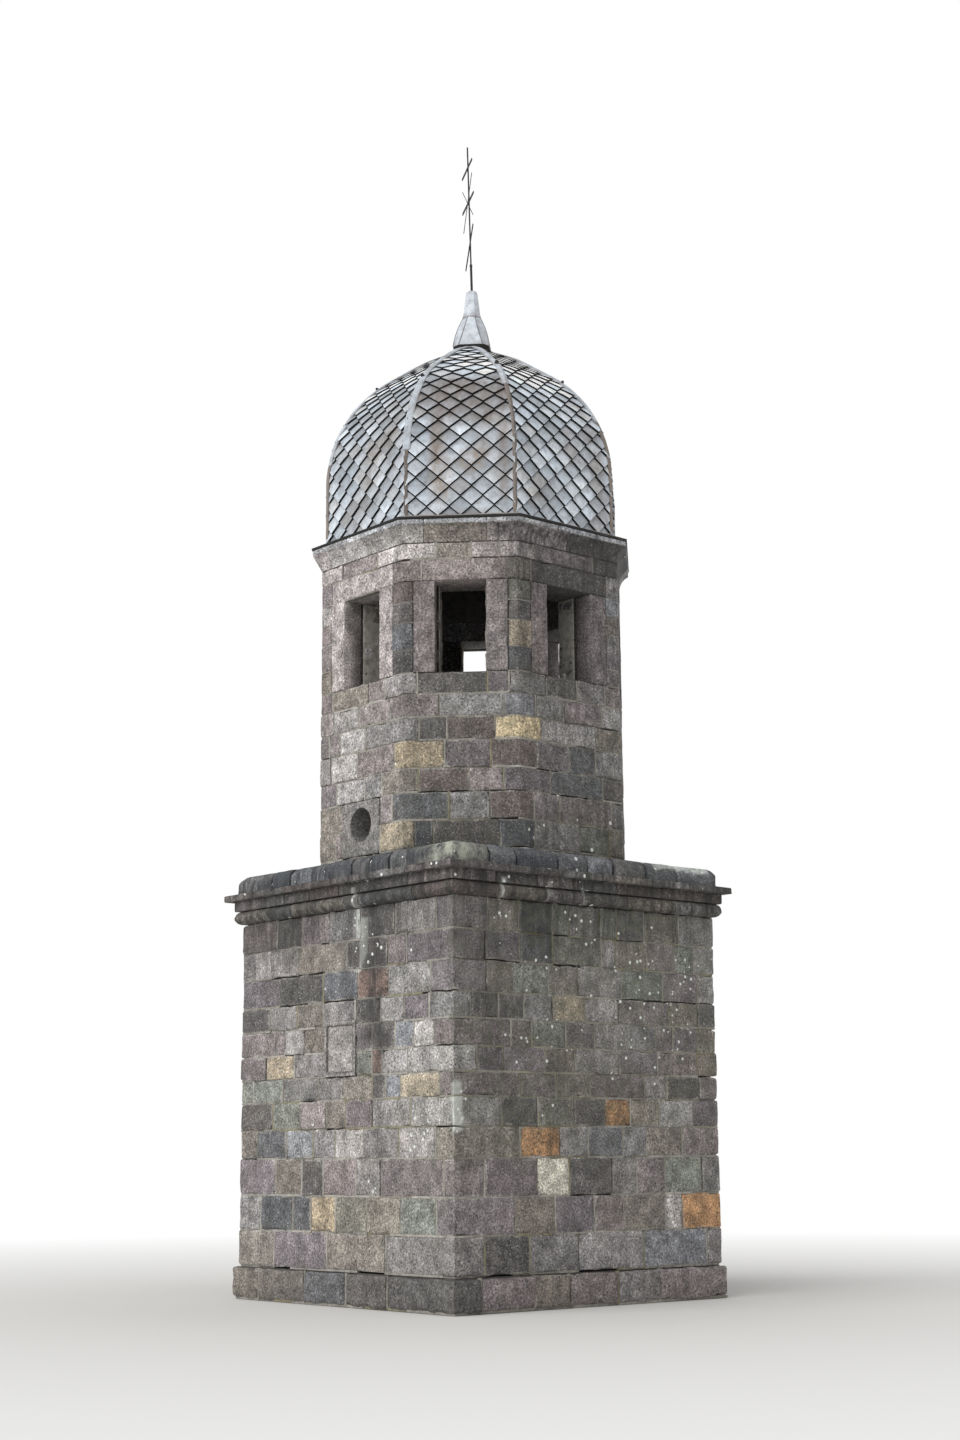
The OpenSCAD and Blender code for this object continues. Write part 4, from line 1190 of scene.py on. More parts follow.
def eavesWeatherAndShade(p):
    turn, u = faceOf(p, belfryRing["turns"])
    sootAndShade, moss, lichen = belfryWeatherAndShade(p)
    # painted shade by face: the front left face darkens from its left part to its right, the front is darker
    # still and most on the hollow moulding; the fillet at the top keeps less of it
    if turn == frontLeftTurn:
        sootAndShade *= 0.25 + 0.9 * clamp((u - 0.1) / 0.3)
    if turn == frontTurn or (turn == frontLeftTurn and u > 0.3):
        sootAndShade += 0.15 + 0.35 * (p.z > 7.09) * (1 + wobble(p, 0.25, 3))
    if p.z > levels["eavesTop"] - 0.062:
        return sootAndShade * 0.45, 0, 0
    return (min(0.9, sootAndShade), moss * 0.5, lichen * 0.5)


def makeLintelsAndEaves():
    rng = random.Random(lintels["seed"])
    labels = ("side", "corner")
    head, top = levels["head"], levels["lintelTop"]

    def lintelKind(c, k, u, end):
        return lintels["kinds"].get(k, "grey") if end - u > 0.7 else rng.choice(plainMix)

    shells = [Shell(f"{label}_lintels_stones") for label in labels] * 4
    addCourses(shells, belfryRing, [head, top], [lintels["joints"]], lintels["stone"],
               lintelKind, rng, eavesWeatherAndShade, openJoints=lintels["cracks"])
    for k, label in enumerate(labels):
        finishPiece(shells[k], masonry, [f"{label}_lintels"], weld)

    shells = [Shell(f"{label}_eaves_cornice_mouldings") for label in labels] * 4
    friezeTop = top + lintels["plain"]
    look = {**lintels["stone"], **lintels["friezeStone"]}
    addCourses(shells, belfryRing, [top, friezeTop], [lintels["frieze"]], look,
               lambda c, k, u, end: rng.choice(lintels["mix"].get(k, plainMix)), rng, eavesWeatherAndShade,
               openJoints=lintels["cracks"])
    out, tall, bed = lintels["out"], lintels["hollow"], -lintels["bed"]
    r = (out * out + tall * tall) / (2 * out)
    bend = math.asin(tall / r)
    low, high = friezeTop + tall, levels["eavesTop"]
    hollow = [(r - r * math.cos(bend * i / 8), friezeTop + r * math.sin(bend * i / 8), 1) for i in range(9)]
    hollow = [(bed, friezeTop, 0)] + hollow + [(bed, low, 0)]
    square = [(bed, low, 0), (out - 4 * mm, low, 1.5), (out, low + 5 * mm, 1.5),
              (out, (low + high) / 2, 1), (out, high - 4 * mm, 1), (out - 5 * mm, high, 1), (bed, high, 0)]
    addRows(shells, belfryRing, hollow, lintels["cavetto"], lintels["moulding"],
            lambda k: rng.choice(lintels["mix"].get(k, plainMix)), rng, eavesWeatherAndShade)
    addRows(shells, belfryRing, square, lintels["fillet"], lintels["moulding"],
            lambda k: rng.choice(lintels["filletMix"]), rng, eavesWeatherAndShade)
    for k in range(8):
        addBacking(shells[k], belfryRing, k, 0.012, belfry["thick"], top + 1 * mm, high - 4 * mm, coreShadeTint)
    for k, label in enumerate(labels):
        finishPiece(shells[k], masonry, [f"{label}_eaves_cornice"], weld)


makeLintelsAndEaves()
print("belfry built")


# A Geometry Nodes group with named inputs; it is run once and kept as a plain mesh.
def newGroup(name, inputs):
    tree = bpy.data.node_groups.new(name, "GeometryNodeTree")
    tree.interface.new_socket("Geometry", in_out="OUTPUT", socket_type="NodeSocketGeometry")
    keys = {}
    for label, kind in inputs.items():
        socket = tree.interface.new_socket(label, in_out="INPUT", socket_type=f"NodeSocket{kind}")
        keys[label] = socket.identifier
    return tree, tree.nodes.new("NodeGroupInput").outputs, keys


def runGroup(tree, keys, values):
    holder = bpy.data.objects.new("holder", bpy.data.meshes.new("holder"))
    bpy.context.scene.collection.objects.link(holder)
    modifier = holder.modifiers.new("nodes", "NODES")
    modifier.node_group = tree
    for label, value in values.items():
        modifier[keys[label]] = value
    graph = bpy.context.evaluated_depsgraph_get()
    result = holder.evaluated_get(graph)
    mesh = bpy.data.meshes.new_from_object(result, preserve_all_data_layers=True, depsgraph=graph)
    holder.modifiers.clear()
    bpy.data.objects.remove(holder)
    return mesh


# the dome: zinc shingles on eight faces
dome = {
    "seed": 55, "foot": 0.670, "radius": 1.470, "arc": math.radians(54), "setback": 0.050, "end": 0.150,
    "wide": 0.218, "tall": 0.100, "gap": 0.066, "lift": 38 * mm, "bulge": 8 * mm, "sink": 15 * mm,
    "firstTip": 0.046, "sheet": 70 * mm, "topLift": 0.62, "flatFrom": 1.1, "flatTo": 2.3,
    "loose": (0.88, 1.12), "rows": 36, "columns": 9, "sag": 0.050, "sagFrom": 2.35, "sagRun": 0.45,
    "underRows": 34, "hipWide": 0.034, "hipThick": 0.016, "under": 3 * mm, "hipMargin": 4 * mm,
    "tints": ["a5adb5", "9ba3ab", "b1b8bf", "8f979e", "a2a7ad", "a6a9ac", "abb2ba", "bac1c8"],
    # the faces' levels are painted light and shade, one per face; the tip and top levels are painted
    # highlights
    "levels": [1.14, 1.02, 1.55, 1.3, 1.05, 1.0, 1.0, 1.05],  # how bright each face is
    "tones": (0.78, 0.40), "tipHighlight": (1.25, 0.50), "topHighlight": (1.25, 1.55, 0.40),
}
domeRing = makeRing(belfryRing["turns"],
                    [sideDistance - dome["setback"], cornerDistance - dome["setback"]] * 4)


def domePoint(k, s, u, h, edge=0):
    # s runs up the face from the eaves, h out from the sheet; edge -1 or 1 stands on a hip
    a = domeRing["distances"][k]
    r, foot, arc = dome["radius"], dome["foot"], dome["arc"]
    t = clamp((s - foot) / r, 0.0, arc)
    rest = max(0.0, s - foot - r * arc)
    x = a - r + (r + h) * math.cos(t) - rest * math.sin(arc)
    z = min(s, foot) + (r + h) * math.sin(t) + rest * math.cos(arc)
    half = domeRing["halves"][k] + (x - a) * domeRing["bend"]
    u = edge * half if edge else clamp(u, -half, half)
    z -= dome["sag"] * max(0.0, (s - dome["sagFrom"]) / dome["sagRun"]) ** 2
    return pointAt(domeRing["turns"][k], x, u, levels["eavesTop"] + z)


def domeHalf(k, s):
    p = domePoint(k, s, 0, 0)
    out = pointAt(-domeRing["turns"][k], p.x, p.y, 0).x - domeRing["distances"][k]
    return domeRing["halves"][k] + out * domeRing["bend"]


def domeLength(k):
    a = domeRing["distances"][k]
    turnX = a - dome["radius"] * (1 - math.cos(dome["arc"]))
    end = max(dome["end"], a - domeRing["halves"][k] / domeRing["bend"] + 0.004)
    return dome["foot"] + dome["radius"] * dome["arc"] + (turnX - end) / math.sin(dome["arc"])


def shingleGroup():
    # flat diamonds in staggered rows, bent over the face's outline and trimmed at its two hips
    tree, given, keys = newGroup("shingledGore", {
        "Width": "Float", "Row": "Float", "Gap": "Float", "First tip": "Float", "Rows": "Int",
        "Columns": "Int", "Lift": "Float", "Bulge": "Float", "Sink": "Float", "Underside": "Float",
        "Apothem": "Float", "Half width": "Float", "Bend": "Float", "Foot": "Float", "Radius": "Float",
        "Arc": "Float", "Length": "Float", "Hip margin": "Float", "Base height": "Float",
        "Top lift": "Float", "Sag": "Float", "Sag from": "Float", "Sag run": "Float", "Turn": "Float",
        "Seed": "Int", "Sheet": "Material", "Edge": "Material",
    })
    add = partial(addNode, tree)

    def outline(s, h):
        past = ("SUBTRACT", s, given["Foot"])
        positive = {"operation": "MAXIMUM"}
        t = add("ShaderNodeMath", positive,
                [("MINIMUM", ("DIVIDE", past, given["Radius"]), given["Arc"]), 0.0])
        rest = ("SUBTRACT", past, ("MULTIPLY", given["Radius"], given["Arc"]))
        rest = add("ShaderNodeMath", positive, [rest, 0.0])
        reach = ("ADD", given["Radius"], h)
        curved = ("ADD", ("SUBTRACT", given["Apothem"], given["Radius"]), ("MULTIPLY", reach, ("COSINE", t)))
        x = add("ShaderNodeMath", {"operation": "SUBTRACT"},
                [curved, ("MULTIPLY", rest, ("SINE", given["Arc"]))])
        over = ("DIVIDE", ("SUBTRACT", s, given["Sag from"]), given["Sag run"])
        over = add("ShaderNodeMath", positive, [over, 0.0])
        rise = ("ADD", ("MINIMUM", s, given["Foot"]), ("MULTIPLY", reach, ("SINE", t)))
        rise = ("ADD", rise, ("MULTIPLY", rest, ("COSINE", given["Arc"])))
        z = ("SUBTRACT", rise, ("MULTIPLY", given["Sag"], ("MULTIPLY", over, over)))
        half = ("ADD", given["Half width"], ("MULTIPLY", ("SUBTRACT", x, given["Apothem"]), given["Bend"]))
        return x, z, half

    # one shingle: a thin closed plate, its tip lifted and its middle bulged
    cube = add("GeometryNodeMeshCube", {}, {"Vertices X": 4, "Vertices Y": 4, "Vertices Z": 2})
    px, py, pz = add("ShaderNodeSeparateXYZ", {}, [add("GeometryNodeInputPosition")]).node.outputs
    kept = ("SUBTRACT", 1.0, given["Gap"])
    p, q = (("SUBTRACT", 1.0, ("MULTIPLY", ("SUBTRACT", 0.5, side), kept)) for side in (px, py))
    across = ("MULTIPLY", ("SUBTRACT", p, q), ("MULTIPLY", given["Width"], 0.5))
    upward = ("MULTIPLY", ("ADD", p, q), given["Row"])
    tip = ("MULTIPLY", given["Lift"], ("SUBTRACT", 1.0, ("MULTIPLY", ("ADD", p, q), 0.5)))
    dish = ("MULTIPLY", ("SUBTRACT", 0.25, ("MULTIPLY", px, px)), ("SUBTRACT", 0.25, ("MULTIPLY", py, py)))
    top = ("ADD", tip, ("MULTIPLY", ("MULTIPLY", dish, 16.0), given["Bulge"]))
    height = ("MULTIPLY", ("ADD", top, given["Underside"]), ("GREATER_THAN", pz, 0.0))
    height = ("SUBTRACT", height, given["Underside"])
    flat = add("ShaderNodeCombineXYZ", {}, [across, upward, height])
    plate = add("GeometryNodeSetPosition", {}, {"Geometry": cube, "Position": flat})
    # the plate's upright sides are marked to take the near-black Edge sheet: painted shadow lines between the
    # shingles
    facing = add("ShaderNodeSeparateXYZ", {}, [add("GeometryNodeInputNormal")], 2)
    onFaces = {"data_type": "FLOAT", "domain": "FACE"}
    upright = {"Geometry": plate, "Name": "edge", "Value": ("LESS_THAN", facing, 0.5)}
    plate = add("GeometryNodeStoreNamedAttribute", onFaces, upright)

    # tips in staggered rows, only where the face has room for them
    wide = ("MULTIPLY", given["Width"], ("SUBTRACT", given["Columns"], 1.0))
    tall = ("MULTIPLY", given["Row"], ("SUBTRACT", given["Rows"], 1.0))
    sizes = {"Size X": wide, "Size Y": tall, "Vertices X": given["Columns"], "Vertices Y": given["Rows"]}
    grid = add("GeometryNodeMeshGrid", {}, sizes)
    gx, gy = add("ShaderNodeSeparateXYZ", {}, [add("GeometryNodeInputPosition")]).node.outputs[:2]
    fromFirst = ("ADD", gy, ("MULTIPLY", tall, 0.5))
    halfWidth = ("MULTIPLY", given["Width"], 0.5)
    shift = ("MULTIPLY", ("MODULO", ("ROUND", ("DIVIDE", fromFirst, given["Row"])), 2.0), halfWidth)
    moved = add("ShaderNodeCombineXYZ", {}, [("ADD", gx, shift), ("ADD", fromFirst, given["First tip"]), 0.0])
    tips = add("GeometryNodeSetPosition", {}, {"Geometry": grid, "Position": moved})
    tx, ty = add("ShaderNodeSeparateXYZ", {}, [add("GeometryNodeInputPosition")]).node.outputs[:2]
    room = outline(("MAXIMUM", ("ADD", ty, given["Row"]), 0.0), 0.0)[2]
    beyond = ("GREATER_THAN", ("ADD", ("SUBTRACT", ("ABSOLUTE", tx), halfWidth), 0.008), room)
    tips = add("GeometryNodeDeleteGeometry", {"domain": "POINT"}, {"Geometry": tips, "Selection": beyond})
    pick = add("FunctionNodeRandomValue", {"data_type": "FLOAT"}, {"Seed": given["Seed"]}, 1)
    stored = {"data_type": "FLOAT", "domain": "POINT"}
    for label, value in (("tipS", ty), ("pick", pick)):
        tips = add("GeometryNodeStoreNamedAttribute", stored,
                   {"Geometry": tips, "Name": label, "Value": value})
    limits = {2: dome["loose"][0], 3: dome["loose"][1], "Seed": ("ADD", given["Seed"], 7.0)}
    loose = add("FunctionNodeRandomValue", {"data_type": "FLOAT"}, limits, 1)
    span = {"Value": ty, 1: dome["flatFrom"], 2: dome["flatTo"], 3: 1.0, 4: given["Top lift"]}
    flatter = add("ShaderNodeMapRange", {}, span)
    size = add("ShaderNodeCombineXYZ", {}, [1.0, 1.0, ("MULTIPLY", loose, flatter)])
    laid = add("GeometryNodeInstanceOnPoints", {}, {"Points": tips, "Instance": plate, "Scale": size})
    rows = add("GeometryNodeRealizeInstances", {}, [laid])
    fx, fy, fz = add("ShaderNodeSeparateXYZ", {}, [add("GeometryNodeInputPosition")]).node.outputs
    for label, value in (("flatU", fx), ("flatS", fy)):
        rows = add("GeometryNodeStoreNamedAttribute", stored,
                   {"Geometry": rows, "Name": label, "Value": value})

    # bend the flat rows over the dome
    x, z, half = outline(("MINIMUM", ("MAXIMUM", fy, 0.012), given["Length"]),
                         ("SUBTRACT", fz, given["Sink"]))
    edge = add("ShaderNodeMath", {"operation": "SUBTRACT"}, [half, given["Hip margin"]])
    u = ("MAXIMUM", ("MINIMUM", fx, edge), ("MULTIPLY", edge, -1.0))
    bent = add("ShaderNodeCombineXYZ", {}, [x, u, ("ADD", z, given["Base height"])])
    bent = add("GeometryNodeSetPosition", {}, {"Geometry": rows, "Position": bent})
    turn = add("ShaderNodeCombineXYZ", {}, [0.0, 0.0, given["Turn"]])
    gore = add("GeometryNodeTransform", {}, {"Geometry": bent, "Rotation": turn})
    gore = add("GeometryNodeSetMaterial", {}, {"Geometry": gore, "Material": given["Sheet"]})
    stamped = add("GeometryNodeInputNamedAttribute", {"data_type": "FLOAT"}, {"Name": "edge"})
    thin = ("GREATER_THAN", stamped, 0.5)
    gore = add("GeometryNodeSetMaterial", {},
               {"Geometry": gore, "Selection": thin, "Material": given["Edge"]})
    add("NodeGroupOutput", {}, [gore])
    return tree, keys


# stains on the shingles: face, u, s, half width, half height, dirt, rust
domeStains = [
    (1, 0.0, 1.36, 0.55, 0.30, 1.05, 0.0), (1, -0.24, 0.85, 0.07, 0.30, 0.9, 0.1),
    (1, 0.24, 1.05, 0.10, 0.16, 0.5, 0.0), (1, -0.19, 0.45, 0.11, 0.26, 0.45, 0.6),
    (1, 0.10, 0.60, 0.16, 0.12, 0.35, 0.6), (1, 0.22, 0.72, 0.12, 0.10, 0.5, 0.2),
    (1, 0.42, 0.70, 0.06, 0.70, 0.65, 0.1), (1, 0.0, 0.03, 0.60, 0.07, 0.60, 0.1),
    (2, -0.30, 0.35, 0.25, 0.18, 0.35, 0.2), (2, 0.20, 0.85, 0.30, 0.30, 0.35, 0.1),
    (2, 0.45, 0.60, 0.12, 0.80, 0.45, 0.1), (0, 0.10, 0.80, 0.18, 0.30, 0.30, 0.55),
    (0, 0.35, 0.95, 0.12, 0.40, 0.40, 0.2), (0, -0.10, 0.30, 0.25, 0.15, 0.25, 0.3),
    (3, 0.0, 1.3, 0.5, 0.5, 0.3, 0.1), (5, 0.1, 0.9, 0.3, 0.4, 0.4, 0.3),
    (6, -0.1, 1.5, 0.5, 0.3, 0.5, 0.1),
]


def shingleWeather(k, u, s, pick):
    dirtAndShade = 0.14 * pick + 0.35 * max(0.0, wobble((u, s, k), 0.25, 3))
    rust = 0.0
    for face, at, high, wide, tall, depth, brown in domeStains:
        if face == k:
            near = math.exp(-(((u - at) / wide) ** 2 + ((s - high) / tall) ** 2) ** 1.5)
            dirtAndShade += depth * near * (0.7 + 0.5 * pick)
            rust += brown * near
    return min(0.92, dirtAndShade), min(0.85, rust)


def makeGores():
    tree, keys = shingleGroup()
    for label, first in (("side", 0), ("corner", 1)):
        shell = Shell(f"{label}_dome_gores_shingles")
        for k in range(first, 8, 2):
            full = domeLength(k)
            addUnderlay(shell, k, full)
            mesh = runGroup(tree, keys, {
                "Width": dome["wide"], "Row": dome["tall"], "Gap": dome["gap"],
                "First tip": dome["firstTip"] - 4 * dome["tall"],
                "Rows": dome["rows"], "Columns": dome["columns"], "Lift": dome["lift"],
                "Bulge": dome["bulge"], "Sink": dome["sink"], "Underside": dome["under"],
                "Apothem": domeRing["distances"][k], "Half width": domeRing["halves"][k],
                "Bend": domeRing["bend"], "Foot": dome["foot"], "Radius": dome["radius"],
                "Arc": dome["arc"], "Length": full, "Hip margin": dome["hipMargin"],
                "Top lift": dome["topLift"], "Sag": dome["sag"], "Sag from": dome["sagFrom"],
                "Sag run": dome["sagRun"], "Base height": levels["eavesTop"],
                "Turn": math.radians(domeRing["turns"][k]), "Seed": dome["seed"] + k,
                "Sheet": zincShingle, "Edge": zincUnderlay,
            })
            addShingles(shell, mesh, k)
            bpy.data.meshes.remove(mesh)
        finishPiece(shell, [zincShingle, zincUnderlay], [f"{label}_dome_gores"], weld, 22)


# the near-black sheet under the shingles, which shows between them as painted shadow lines
def addUnderlay(shell, k, full):
    under, sheet = -dome["sink"] - 1 * mm, dome["sheet"]
    rows = []
    for i in range(dome["underRows"] + 1):
        s = full * i / dome["underRows"]
        loop = ((-1, under), (1, under), (1, -sheet), (-1, -sheet))
        rows.append([shell.vert(domePoint(k, s, 0, h, edge)) for edge, h in loop])
    addRings(shell, rows, 1)


def addShingles(shell, mesh, k):
    start = len(shell.verts)
    values = []
    for label in ("pick", "flatU", "flatS", "tipS"):
        values.append([0.0] * len(mesh.vertices))
        mesh.attributes[label].data.foreach_get("value", values[-1])
    plain, varied = dome["tones"]
    atTip, lost = dome["tipHighlight"]
    more, fromS, over = dome["topHighlight"]
    for vert, pick, u, s, tip in zip(mesh.vertices, *values):
        color = hexColor(dome["tints"][int(pick * 7.99)])[:3]
        level = plain + varied * ((pick * 37) % 1)
        # painted highlight palest at the tip and brighter towards the top; painted light and shade by face
        level *= atTip - lost * clamp((s - tip) / (2 * dome["tall"]))  # palest at the tip
        level *= dome["levels"][k] * (1 + more * clamp((s - fromS) / over))
        weather = (*shingleWeather(k, u, s, (pick * 17) % 1), 0)
        shell.vert(vert.co.copy(), [min(0.95, c * level) for c in color], weather)
    edgeSlot = [m.name if m else "" for m in mesh.materials].index(zincUnderlay.name)
    for face in mesh.polygons:
        shell.face(tuple(start + v for v in face.vertices), 1 if face.material_index == edgeSlot else 0)


# rows of equal loops joined into a closed skin
def addRings(shell, rows, slot=0):
    count = len(rows[0])
    for a, b in zip(rows, rows[1:]):
        for i in range(count):
            j = (i + 1) % count
            shell.face((a[i], a[j], b[j], b[i]), slot)
    shell.face(tuple(reversed(rows[0])), slot)
    shell.face(tuple(rows[-1]), slot)


makeGores()
print("dome shingled")


# strips of sheet over the hips, pale near the cap, torn and stained lower down; and the dark knobs on them
hips = {
    "steps": 130, "start": 0.06, "short": 0.08, "stain": [0.74, 1.5, 1.3, 2.0, 1.4, 1.1, 1.6, 0.9],
    "pale": "b3bac1", "old": "7c7673", "torn": "5a5552", "jag": (0.45, 0.06), "narrow": (0.55, 0.80, 1.15),
    "knobs": [  # hip, s, radius in mm, shift
        (0, 1.87, 21, -0.036), (0, 1.68, 20, 0), (0, 1.44, 11, -0.08), (1, 1.90, 24, 0), (2, 1.9, 18, 0),
        (7, 1.9, 18, 0),
    ],
}


def addHipStrip(shell, k):
    nextK = (k + 1) % 8
    start = hips["start"]
    full = min(domeLength(k), domeLength(nextK)) - hips["short"]
    low = -dome["sink"] - 0.5 * mm
    rows = []
    for i in range(hips["steps"] + 1):
        s = start + (full - start) * i / hips["steps"]
        torn = s < hips["stain"][k]
        jag = hips["jag"][0 if torn else 1]
        narrow = hips["narrow"][2 if not torn else 0 if k < 2 else 1]
        tint = hexColor(hips["pale"] if not torn else hips["torn"] if k < 2 else hips["old"])[:3]
        a, b = (1 + jag * wobble((s, k, g), 0.035) + 0.22 * wobble((s, k, g + 2), 0.3) for g in (1, 2))
        a, b = a * dome["hipWide"] * narrow, b * dome["hipWide"] * narrow
        thick = dome["hipThick"] * (0.95 + 0.2 * wobble((s, k, 4), 0.15)) * clamp((full - s) / 0.25, 0.3)
        dirtAndShade = (0.4 if torn else 0.08) + 0.5 * wobble((s, k, 7), 0.12)
        half, past = domeHalf(k, s), domeHalf(nextK, s)
        # the strip's sides down to the shingles are darker: painted shade
        flank, flankShade = thick * 0.75, 0.5 + 0.4 * torn
        line = [(k, half - a, low, 0.9), (k, half - a, flank, flankShade), (k, half - a * 0.5, thick, 0.0)]
        line += [(nextK, b * 0.5 - past, thick, 0.0),
                 (nextK, b - past, flank, flankShade), (nextK, b - past, low, 0.9)]
        points = [(domePoint(face, s, u, h), edgeShade) for face, u, h, edgeShade in line]
        points.insert(3, (domePoint(k, s, 0, thick + 2 * mm, 1), 0.0))
        rows.append([shell.vert(p, tint, (clamp(dirtAndShade + edgeShade, 0.0, 0.95), 0.15 * torn, 0))
                     for p, edgeShade in points])
    addRings(shell, rows)


def addKnob(shell, k, s, radius, shift):
    middle, outside = (domePoint(k, s, domeHalf(k, s) + shift, h) for h in (0, 0.1))
    out = (outside - middle).normalized()
    side = out.cross(up).normalized()
    above = side.cross(out)
    rows = []
    for i in range(6):
        t = math.pi / 2 * i / 5
        r = radius * mm * max(0.08, math.cos(t))
        base = middle + out * (radius * mm * math.sin(t) * 1.7 + dome["hipThick"] - 6 * mm)
        turns = (2 * math.pi * n / 10 for n in range(10))
        rows.append([shell.vert(base + (side * math.cos(g) + above * math.sin(g)) * r) for g in turns])
    addRings(shell, rows, 1)


def makeHips():
    shell = Shell("dome_hip_strips_sheet")
    for k in range(8):
        addHipStrip(shell, k)
    for knob in hips["knobs"]:
        addKnob(shell, *knob)
    finishPiece(shell, [zincSheet, wroughtIron], ["dome_hip_strips"], 0, 30)


makeHips()


def makeFlashing():
    rng = random.Random(88)
    shell = Shell("eaves_flashing_sheet")
    top = levels["eavesTop"]
    edge, out, back = lintels["out"] + 1 * mm, lintels["out"] + 9 * mm, -dome["setback"]
    sheet = [(back, top, 0), (out, top - 1 * mm, 0.5), (out, top + 7 * mm, 0.5)]
    sheet += [(out * 0.4, top + 42 * mm, 0.5), (back, top + 70 * mm, 0)]
    # the dark strip under the sheet's edge is in the near-black underlay: painted shadow of the gap over the
    # stone
    low, high, far = top - 13 * mm, top + 14 * mm, out + 1 * mm
    gap = [(edge - 0.02, low, 0), (edge, low, 0), (far, top, 0), (far, high, 0), (edge - 0.02, high, 0)]
    look = {"gap": 2 * mm, "round": 1 * mm, "proud": 1 * mm, "border": 20 * mm, "step": 0.06,
            "wave": 0.12, "uneven": 4 * mm, "chip": 0.0, "reach": out + 1 * mm}
    joints = [[rng.uniform(-0.4, 0.3)] for k in range(8)]
    for slot, outline in enumerate((sheet, gap)):
        addRows([shell] * 8, belfryRing, outline, joints, look, lambda k: "light", rng,
                lambda p: (0.3 + 0.3 * wobble(p, 0.2, 3), 0.05, 0), slot)
    finishPiece(shell, [zincSheet, zincUnderlay], ["eaves_flashing"], 0, 30)


makeFlashing()


# the cap: a bulging skirt and a tapered neck in plain sheet
cap = {
    "skirtA": 0.190, "skirtTopA": 0.092, "skirtTall": 0.345, "bulge": 0.016, "neckTopA": 0.061,
    "crownTall": 0.042, "crownA": 0.034, "skirtTint": "c2c8cf", "neckTint": "c6ccd3", "seamTint": "6b7178",
    "lip": 4 * mm, "flare": 0.033,
}
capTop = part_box("cap_neck")[1].z
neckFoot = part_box("cap_neck")[0].z
skirtFoot = neckFoot - cap["skirtTall"]


def eightHalf(a, flare, k):
    own, other = (a + flare, a) if k % 2 == 0 else (a, a + flare)
    return own, (other - own * math.cos(math.pi / 4)) / math.sin(math.pi / 4)


def eightRow(shell, a, z, tint, dirtAndShade, flare=0.0, perFace=4):
    # one loop round the cap; flare pushes out the four side faces
    row = []
    for k in range(8):
        own, half = eightHalf(a, flare, k)
        for i in range(perFace):
            p = pointAt(belfryRing["turns"][k], own, -half + 2 * half * i / perFace, z)
            row.append(shell.vert(p, tint, (dirtAndShade, 0, 0)))
    return row


def skirtReach(z):
    # half width of the skirt at a height over its foot: an arc through its foot and its top
    run, tall, bulge = cap["skirtA"] - cap["skirtTopA"], cap["skirtTall"], cap["bulge"]
    chord = math.hypot(run, tall)
    far = (chord * chord / 4 - bulge * bulge) / (2 * bulge)
    x, y = cap["skirtA"] - run / 2 - far * tall / chord, tall / 2 - far * run / chord
    return x + math.sqrt((far + bulge) ** 2 - (z - y) ** 2)


def skirtFlare(z):
    return cap["flare"] * max(0.0, 1 - z / cap["skirtTall"]) ** 2


def addSeam(shell, k, tint, wide=4.5 * mm, tall=4 * mm):
    # a folded seam standing on a hip of the skirt
    rows = []
    for i in range(13):
        z = cap["skirtTall"] * (0.02 + 0.97 * i / 12)
        own, half = eightHalf(skirtReach(z), skirtFlare(z), k)
        p = pointAt(belfryRing["turns"][k], own, half, skirtFoot + z)
        out = Vector((p.x, p.y, 0)).normalized()
        along = up.cross(out)
        section = ((-wide, -6 * mm), (wide, -6 * mm), (wide * 0.7, tall), (-wide * 0.7, tall))
        rows.append([shell.vert(p + out * d + along * w, tint, (0.2, 0, 0)) for w, d in section])
    addRings(shell, rows)


def makeCap():
    shell = Shell("cap_skirt_sheet")
    tint = hexColor(cap["skirtTint"])[:3]
    a, tall, flare = cap["skirtA"], cap["skirtTall"], cap["flare"]
    # the skirt's inside at its foot is in the near-black underlay: painted shadow under the skirt
    inside = ((0.05, -0.05), (0.008, -0.02), (0.008, 0.004))
    addRings(shell, [eightRow(shell, a - drop, skirtFoot + z, tint, 0, flare) for drop, z in inside], 1)
    # the foot is darkest and the skirt lighter upwards: painted shade of the gap at its foot
    rings = [(a - 10 * mm, 3 * mm, 1, flare), (a + 1 * mm, 0, 0.6, flare)]
    for i in range(15):
        z = 8 * mm + (tall - 8 * mm) * i / 14
        rings.append((skirtReach(z), z, 0.35 * (1 - i / 14) ** 3 + 0.05, skirtFlare(z)))
    addRings(shell, [eightRow(shell, reach, skirtFoot + z, tint, dirtAndShade, out) for reach, z, dirtAndShade, out in rings])
    for k in range(8):
        addSeam(shell, k, hexColor(cap["seamTint"])[:3])
    finishPiece(shell, [zincSheet, zincUnderlay], ["cap_skirt"], 0, 30)

    shell = Shell("cap_neck_sheet")
    tint = hexColor(cap["neckTint"])[:3]
    low, lip, top, crown = cap["skirtTopA"], cap["lip"], cap["neckTopA"], cap["crownTall"]
    high = capTop - neckFoot - crown
    # the lip at the neck's foot is dark below it and in the crease over it: painted shade
    rings = [(low - lip, 0, 1), (low + lip, 1 * mm, 0.9),
             (low + lip, 20 * mm, 0.15), (low - 1 * mm, 24 * mm, 0.5)]
    for i in range(1, 9):
        z = 24 * mm + (high - 24 * mm) * i / 8
        rings.append((low + (top - low) * z / high, z, 0.08))
    for i in range(1, 6):
        t = math.pi / 2 * i / 5
        reach = top - (top - cap["crownA"] + 6 * mm) * (1 - math.cos(t))
        rings.append((reach, high + crown * math.sin(t), 0.1 + 0.08 * i))
    addRings(shell, [eightRow(shell, reach, neckFoot + z, tint, dirtAndShade) for reach, z, dirtAndShade in rings])
    finishPiece(shell, [zincSheet], ["cap_neck"], 0, 30)


makeCap()

